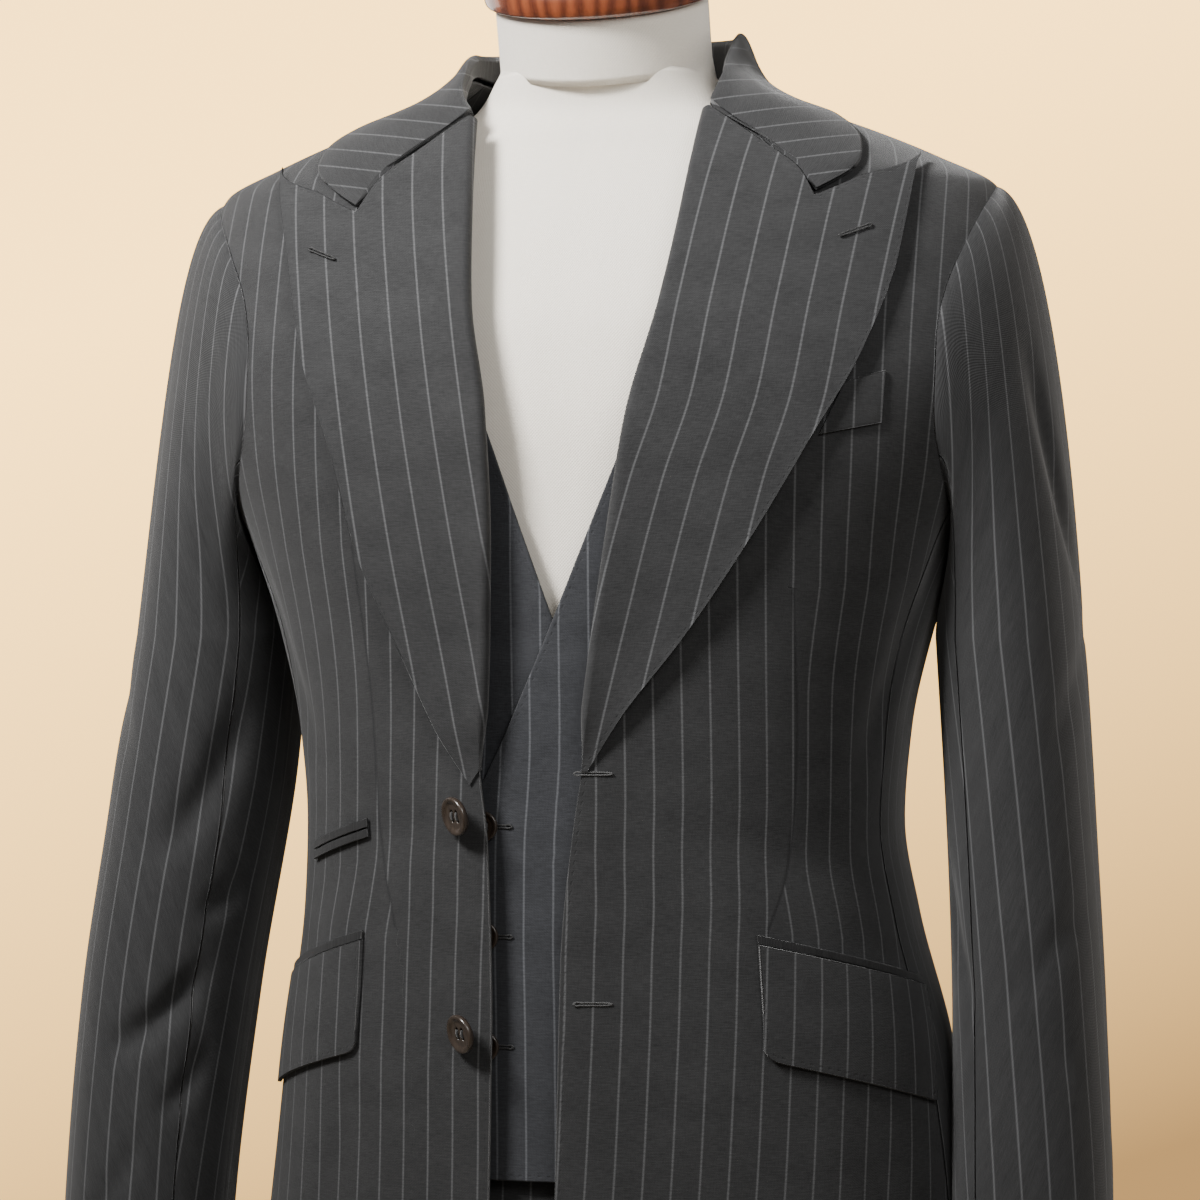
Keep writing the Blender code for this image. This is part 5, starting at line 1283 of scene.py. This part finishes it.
# Folds on a sleeve as (round, up) to (round, up), width and height; round is 0 at the outside
SLEEVE_CREASES = {
    "left": ((0.042, 1.365, 0.004, 1.225, 0.007, -0.0030), (-0.020, 1.210, 0.060, 1.130, 0.010, -0.0010),
             (0.020, 1.060, 0.090, 1.010, 0.009, -0.0010), (0.100, 1.050, 0.040, 0.960, 0.010, -0.0011),
             (0.105, 0.930, 0.050, 0.870, 0.009, -0.0010), (0.070, 1.330, 0.095, 1.230, 0.010, -0.0008),
             (0.150, 1.080, 0.120, 1.000, 0.008, -0.0016), (-0.090, 1.120, -0.030, 1.050, 0.010, -0.0024),
             (-0.070, 0.990, -0.010, 0.930, 0.010, -0.0016)),
    "right": ((0.128, 1.018, 0.072, 0.970, 0.009, -0.0046), (0.131, 1.168, 0.086, 1.076, 0.012, -0.0036),
              (0.137, 0.975, 0.108, 0.935, 0.008, -0.0022), (0.150, 1.070, 0.115, 1.045, 0.008, -0.0018),
              (0.000, 1.190, 0.060, 1.120, 0.011, -0.0008), (0.100, 0.930, 0.055, 0.865, 0.008, -0.0014),
              (-0.060, 1.080, -0.015, 1.000, 0.010, -0.0020), (-0.080, 0.960, -0.020, 0.900, 0.010, -0.0018),
              (0.080, 1.330, 0.100, 1.230, 0.010, -0.0012)),
}


def clear_of_body(side, points, inset):
    """Sleeve points below the armhole, moved outwards where they would press into the body."""
    x, y, z = points[..., 0], points[..., 1], points[..., 2]
    room = SLEEVE_CLEAR + inset
    deep = np.where(y < 0, along(FIGURE, "front", z), along(FIGURE, "back", z)) + room
    share = np.clip(1 - np.abs(y / deep) ** FIGURE_POWER, 0, 1) ** (1 / FIGURE_POWER)
    body = SIGN[side] * along(FIGURE, "lean", z) + (along(FIGURE, "half_width", z) + room) * share
    below = z < ARMHOLE["middle"] - ARMHOLE["half_height"] + REST
    return np.stack([np.where(below, np.maximum(x, body), x), y, z], -1)


def sleeve_folds(side, angle, z):
    """Height of the sleeve's folds at an angle round it and a height."""
    wrapped = np.where(angle > math.pi, angle - 2 * math.pi, angle)
    return creased(stacked(wrapped * SLEEVE_ROUND, z), SLEEVE_CREASES[side])


def sleeve_section(rows, angle, z, grown=0.0):
    """Points round the sleeve at a height, with both its half widths grown by a length."""
    power = 2 / SLEEVE_POWER
    wide, deep = along(rows, "half_width", z) + grown, along(rows, "half_depth", z) + grown
    return stacked(along(rows, "x", z) + wide * signed_power(np.cos(angle), power),
                   along(rows, "y", z) - deep * signed_power(np.sin(angle), power), z)


def sleeve_grid(side, angle, inset, strength=1.0):
    """Grid over part of a sleeve: a cap curved out of the armhole on a cubic, whose end leans as the arm
    does, then sections down to the cuff; the folds move each point out from the sleeve's own middle."""
    rows = SLEEVE[side]
    s, c = np.sin(angle), np.cos(angle)
    outside, none = np.clip(c, 0, 1), 0 * angle
    edge = figure(armhole(side, angle)) + (-0.0003, 0, 0) + (inset - 0.0001) * np.stack([none, s, -c], -1)
    heights = np.linspace(SLEEVE_TOP, rows["z"][0], 76)[:, None]
    fold = strength * sleeve_folds(side, angle[None, :], heights)
    arm = clear_of_body(side, sleeve_section(rows, angle, heights, fold - inset), inset)
    down = arm[0]
    span = np.linalg.norm(down - edge, axis=1)[:, None]
    out = np.stack([none + 1, -0.35 * s, -0.15 - 0.05 * c], -1)
    out /= np.linalg.norm(out, axis=1)[:, None]
    first = edge + out * span * (CAP_OUT + CAP_OUT_TOP * outside)[:, None]
    fall_x, fall_y = ((along(rows, way, SLEEVE_TOP) - along(rows, way, SLEEVE_TOP - 0.05)) / 0.05
                      for way in "xy")
    second = down + CAP_LEAN * np.stack([fall_x * outside, fall_y + none, none + 1], -1) * span
    t = (np.linspace(0, 1, 53) ** CAP_CROWD)[:, None, None]
    cap = edge * (1 - t) ** 3 + 3 * first * t * (1 - t) ** 2 + 3 * second * t * t * (1 - t) + down * t ** 3
    cap_fold = strength * sleeve_folds(side, angle[None, :], cap[..., 2])
    cap_fold = cap_fold * np.sin(math.pi * t[..., 0] / 2) ** 2
    cap = cap + np.stack([c * 0.6 + 0.6, -s, none], -1) * cap_fold[..., None]
    return np.concatenate([clear_of_body(side, cap, inset), arm[1:]]) * (SIGN[side], 1, 1)


def fanned(side, smooth, across, middle):
    """Lengths across a top sleeve, changed over its head: there the stripes keep to upright planes fanned
    about an axis inside the arm, and the change is evened out by a bell over the rows about it."""
    axis_x, axis_y = along(SLEEVE[side], "x", SLEEVE_TOP) - FAN_IN, along(SLEEVE[side], "y", SLEEVE_TOP)
    ray = np.arctan2(smooth[..., 1] - axis_y, SIGN[side] * smooth[..., 0] - axis_x)
    head = np.argmin(np.abs(smooth[:, middle, 2] - SLEEVE_TOP))
    known, reached = ray[head, ::-1], across[head, ::-1]
    known = np.concatenate([[known[0] - 1], known, [known[-1] + 1]])
    reached = np.concatenate([[reached[0] + FAN_RATE], reached, [reached[-1] - FAN_RATE]])
    across[:head] = np.interp(ray[:head], known, reached)
    bell = np.hanning(2 * FAN_ROWS + 1)
    padded = np.pad(across, ((FAN_ROWS, FAN_ROWS), (0, 0)), "reflect", reflect_type="odd")
    return np.apply_along_axis(np.convolve, 0, padded, bell / bell.sum(), "valid")


for side in ("left", "right"):
    for part, start, end, count, flat in (
        ("top", SLEEVE_SEAM_BACK - 2 * math.pi, SLEEVE_SEAM_FRONT, 110, (0.27, 0.63)),
        ("under", SLEEVE_SEAM_FRONT, SLEEVE_SEAM_BACK, 50, (0.14, 0.48)),
    ):
        angle = np.linspace(start + SLEEVE_SEAM_GAP, end - SLEEVE_SEAM_GAP, count + 1)
        outer, inner = (closer(sleeve_grid(side, angle, inset)) for inset in (0.0, CLOTH))
        smooth = closer(sleeve_grid(side, angle, 0.0, strength=0.0))
        across = lengths(smooth, 1)
        middle = across.shape[1] // 2
        across = across - across[:, middle:middle + 1]
        if part == "top":
            across = fanned(side, smooth, across, middle)
        pitched = across + SLEEVE_STRIPE + SLEEVE_PITCHED[side] * (smooth[..., 2] - SLEEVE_TOP)
        cut = np.stack([pitched, lengths(smooth, 0)], -1)
        panel(f"{side}_{part}_sleeve", outer, inner, cut, jacket_worsted, f"{part}_sleeve_{side}",
              "jacket_worsted")


# Buttons and buttonholes
# Dark horn buttons, turned with a rim and a dished middle and drilled with four holes for their thread.
# Buttonholes are slits whipped round with silk twist.
BUTTON_RADII = {"jacket": 0.0105, "waistcoat": 0.0080, "cuff": 0.0075}
BUTTON_THICK = {"jacket": 0.0040, "waistcoat": 0.0032, "cuff": 0.0030}
JACKET_BUTTONS = ((-0.0465, 1.108), (-0.0445, 0.994))
JACKET_HOLES = ((0.0225, 1.130), (0.0216, 1.010))
WAISTCOAT_COLUMNS, WAISTCOAT_ROWS = (-0.0395, 0.0275), (1.101, 1.043, 0.985)
CUFF_START, CUFF_STEP, CUFF_ANGLE = 0.028, 0.017, 0.32
# A button's outline as shares of its radius and its thickness: the dished middle, the rim and the back
BUTTON_DISH = ((0.0, 0.66), (0.03, 0.66), *zip(np.linspace(0.07, 0.62, 16), np.linspace(0.66, 0.70, 16)))
BUTTON_RIM = ((0.68, 0.76), (0.76, 0.90), (0.84, 0.99), (0.92, 1.0), (0.97, 0.93), (1.0, 0.72), (0.985, 0.42),
              (0.93, 0.14), (0.80, 0.03), (0.4, 0.0), (0, 0))
BUTTON_HOLE_OUT, BUTTON_HOLE_SIZE = 0.21, 0.115
THREAD_RADIUS = 0.065
HOLE_TURNS, HOLE_RADIUS, HOLE_WIDTH = 220, 0.00046, 0.0013
horn, tree, shader = finished("dark_horn", 0.27, Coat_Weight=0.3, Coat_Roughness=0.12)
flecked = add(tree, "ShaderNodeMapping", object_place(tree), None, (0.3, 0.5, 0.2), (420, 420, 90))
streaks = add(tree, "ShaderNodeTexNoise", flecked, None, 1.0, 4.0)
coloured(tree, shader, streaks, (0.008, 0.006, 0.005), (0.060, 0.042, 0.030))
tree.links.new(maths(tree, "MULTIPLY_ADD", streaks, 0.2, 0.18), shader.inputs["Roughness"])
embossed(tree, shader, streaks, 0.00004)
twists = []
for name, dark, light in (("dark_twist", 0.008, 0.034), ("grey_twist", 0.040, 0.115)):
    thread, tree, shader = finished(name, 0.55, Sheen_Weight=0.2)
    strand = add(tree, "ShaderNodeTexWave", object_place(tree), 2200.0, 1.0)
    coloured(tree, shader, strand, (dark,) * 3, (light,) * 3)
    embossed(tree, shader, strand, 0.0001)
    twists.append(thread)
twist, grey_twist = twists


def square_to(normal):
    """Two directions across a surface normal, level and upright."""
    normal = np.asarray(normal, float) / np.linalg.norm(normal)
    across = np.cross(normal, (0, 0, 1.0))
    across /= np.linalg.norm(across)
    return normal, across, np.cross(across, normal)


def tube(centres, beside, above, radius, sides):
    """Rings of a tube: about each centre a circle, in the plane of two directions."""
    turn = circle(sides)[:, None]
    radius = np.reshape(radius, (-1, 1, 1))
    beside, above = (np.reshape(way, (-1, 1, 3)) for way in (beside, above))
    return centres[:, None] + radius * (np.cos(turn) * beside + np.sin(turn) * above)


def button(name, seat, normal, kind, node):
    """Turned button: height is a rim's profile over the radius, less a steep dimple at each of four holes;
    two stitches cross it from hole to hole."""
    radius, thick = BUTTON_RADII[kind], BUTTON_THICK[kind]
    normal, across, up = square_to(normal)
    share, level = np.array([*BUTTON_DISH, *BUTTON_RIM]).T[:, :, None]
    a, b = share * np.cos(circle(60)), share * np.sin(circle(60))
    out = BUTTON_HOLE_OUT
    hole = sum(np.exp(-(((a - p) ** 2 + (b - q) ** 2) / BUTTON_HOLE_SIZE ** 2) ** 3)
               for p in (-out, out) for q in (-out, out))
    front = np.arange(len(share))[:, None] <= len(BUTTON_DISH)
    height = thick * (level - 0.5 * hole * front)
    rings = seat + radius * (a[..., None] * across + b[..., None] * up) + height[..., None] * normal
    piece(name, *skinned(rings), horn, [node], "dark_horn")
    points, blocks = [], []
    t = np.linspace(0, 1, 9)[:, None]
    for aside in (-out, out):
        raised = thick * (0.60 + 0.14 * np.sin(math.pi * t))
        centres = seat + radius * (aside * across + out * (2 * t - 1) * up) + raised * normal
        rings = tube(centres, across * 1.6, normal, THREAD_RADIUS * radius, 8)
        ends = [end.mean(0) + 0 * rings[:1] for end in (centres[:1], centres[-1:])]
        more, more_blocks = skinned(np.concatenate([ends[0], rings, ends[1]]))
        blocks.extend(block + sum(map(len, points)) for block in more_blocks)
        points.append(more)
    piece(name + "_thread", np.concatenate(points), blocks, twist)


def buttonhole(name, centre, normal, along_it, length, thread=twist):
    """Whipped slit: a thin ribbed tube carried round a long narrow loop, widened at one end."""
    normal, _, _ = square_to(normal)
    along_it = along_it - normal * np.dot(along_it, normal)
    along_it /= np.linalg.norm(along_it)
    aside = np.cross(normal, along_it)
    turn = circle(HOLE_TURNS)
    x = signed_power(np.cos(turn), 0.55) * length / 2
    eye = 1 + 0.9 * np.exp(-((x - length * 0.43) / (length * 0.07)) ** 2)
    y = np.sin(turn) * HOLE_WIDTH * 0.55 * eye
    path = centre + x[:, None] * along_it + y[:, None] * aside + 0.0003 * normal
    ribs = 1 + 0.16 * np.sin(np.arange(HOLE_TURNS) * math.pi / 2)
    way = np.roll(path, -1, 0) - np.roll(path, 1, 0)
    way /= np.linalg.norm(way, axis=1)[:, None]
    rings = tube(path, np.cross(way, normal), normal, HOLE_RADIUS * ribs, 8)
    piece(name, rings, [cells(HOLE_TURNS, 8, wrap=True, loop=True)], thread)


def face_at(side, x, z, lift, folded=True):
    """Point, outward normal and level direction of the front at a distance from the middle and a height."""
    places = front_place(side, np.array([x, x + 0.002, x]), np.array([z, z, z + 0.002]))
    here, beside, above = figure(turned(side, places), lift + (relief(side, places) if folded else 0.0))
    normal = np.cross(beside - here, above - here) * SIGN[side]
    return here, normal / np.linalg.norm(normal), beside - here


def shank(name, foot, head, width):
    """Wrapped thread under a button: a waisted tube with ribs, from the cloth to the button's back."""
    t = np.linspace(0, 1, 25)[:, None]
    _, across, up = square_to(head - foot)
    radius = width * (1 + 0.35 * (2 * t - 1) ** 2 + 0.09 * np.sin(t * 40)) * (np.abs(2 * t - 1) < 0.999)
    piece(name, *skinned(tube(foot + (head - foot) * t, across, up, radius, 12)), twist)


# The jacket's buttons hang a little from their shanks, tipped outwards and down
BUTTON_TIP = math.radians(40)
BUTTON_TIP_WAY = np.array([-0.908, -0.201, -0.370])
for number, (x, z) in enumerate(JACKET_BUTTONS, 1):
    seat, normal, _ = face_at("right", -x, z, 0.0)
    tipped = normal * math.cos(BUTTON_TIP) + BUTTON_TIP_WAY * math.sin(BUTTON_TIP)
    tipped /= np.linalg.norm(tipped)
    back = seat + normal * BUTTON_RADII["jacket"] * math.sin(BUTTON_TIP)
    button(f"jacket_button_{number}_horn", back, tipped, "jacket", f"jacket_button_{number}")
    shank(f"jacket_button_{number}_shank", seat - normal * 0.0005, back + tipped * 0.0004, 0.0013)
    centre, normal, level = face_at("left", *JACKET_HOLES[number - 1], 0.0)
    buttonhole(f"jacket_buttonhole_{number}", centre, normal, -level, 0.0200, grey_twist)
number = 0
for z in WAISTCOAT_ROWS:
    for x in WAISTCOAT_COLUMNS:
        number += 1
        seat, normal, _ = face_at("left", x, z, 0.0003 - WAISTCOAT_DEPTH, folded=False)
        button(f"waistcoat_button_{number}_horn", seat, normal, "waistcoat", f"waistcoat_button_{number}")
        if x < 0:
            centre, normal, level = face_at("left", x + 0.0062, z, 0.0002 - WAISTCOAT_DEPTH, folded=False)
            buttonhole(f"waistcoat_buttonhole_{number}", centre, normal, level, 0.0185)
for side, x, z in (("left", 0.1517, 1.4115), ("right", 0.1330, 1.4040)):
    here, normal, level = face_at(side, x, z, 0.0052)
    buttonhole(f"{side}_lapel_buttonhole", here, normal, level + np.array([0, 0, 0.0009]), 0.0190)
for side in ("left", "right"):
    rows = SLEEVE[side]
    for number in range(4):
        z = rows["z"][0] + CUFF_START + CUFF_STEP * number
        angle = SLEEVE_SEAM_BACK + CUFF_ANGLE + np.array([0, 0.02])
        points = clear_of_body(side, sleeve_section(rows, angle, z), 0.0)
        normal = np.cross(points[1] - points[0], (0, 0, 1.0))
        middle = np.array([along(rows, "x", z), along(rows, "y", z), z])
        normal = normal * np.sign(np.dot(normal, points[0] - middle))
        seat = (points[0] + normal / np.linalg.norm(normal) * 0.0010) * (SIGN[side], 1, 1)
        button(f"{side}_cuff_button_{number + 1}_horn", seat, normal * (SIGN[side], 1, 1), "cuff",
               f"cuff_button_{side}_{number + 1}")
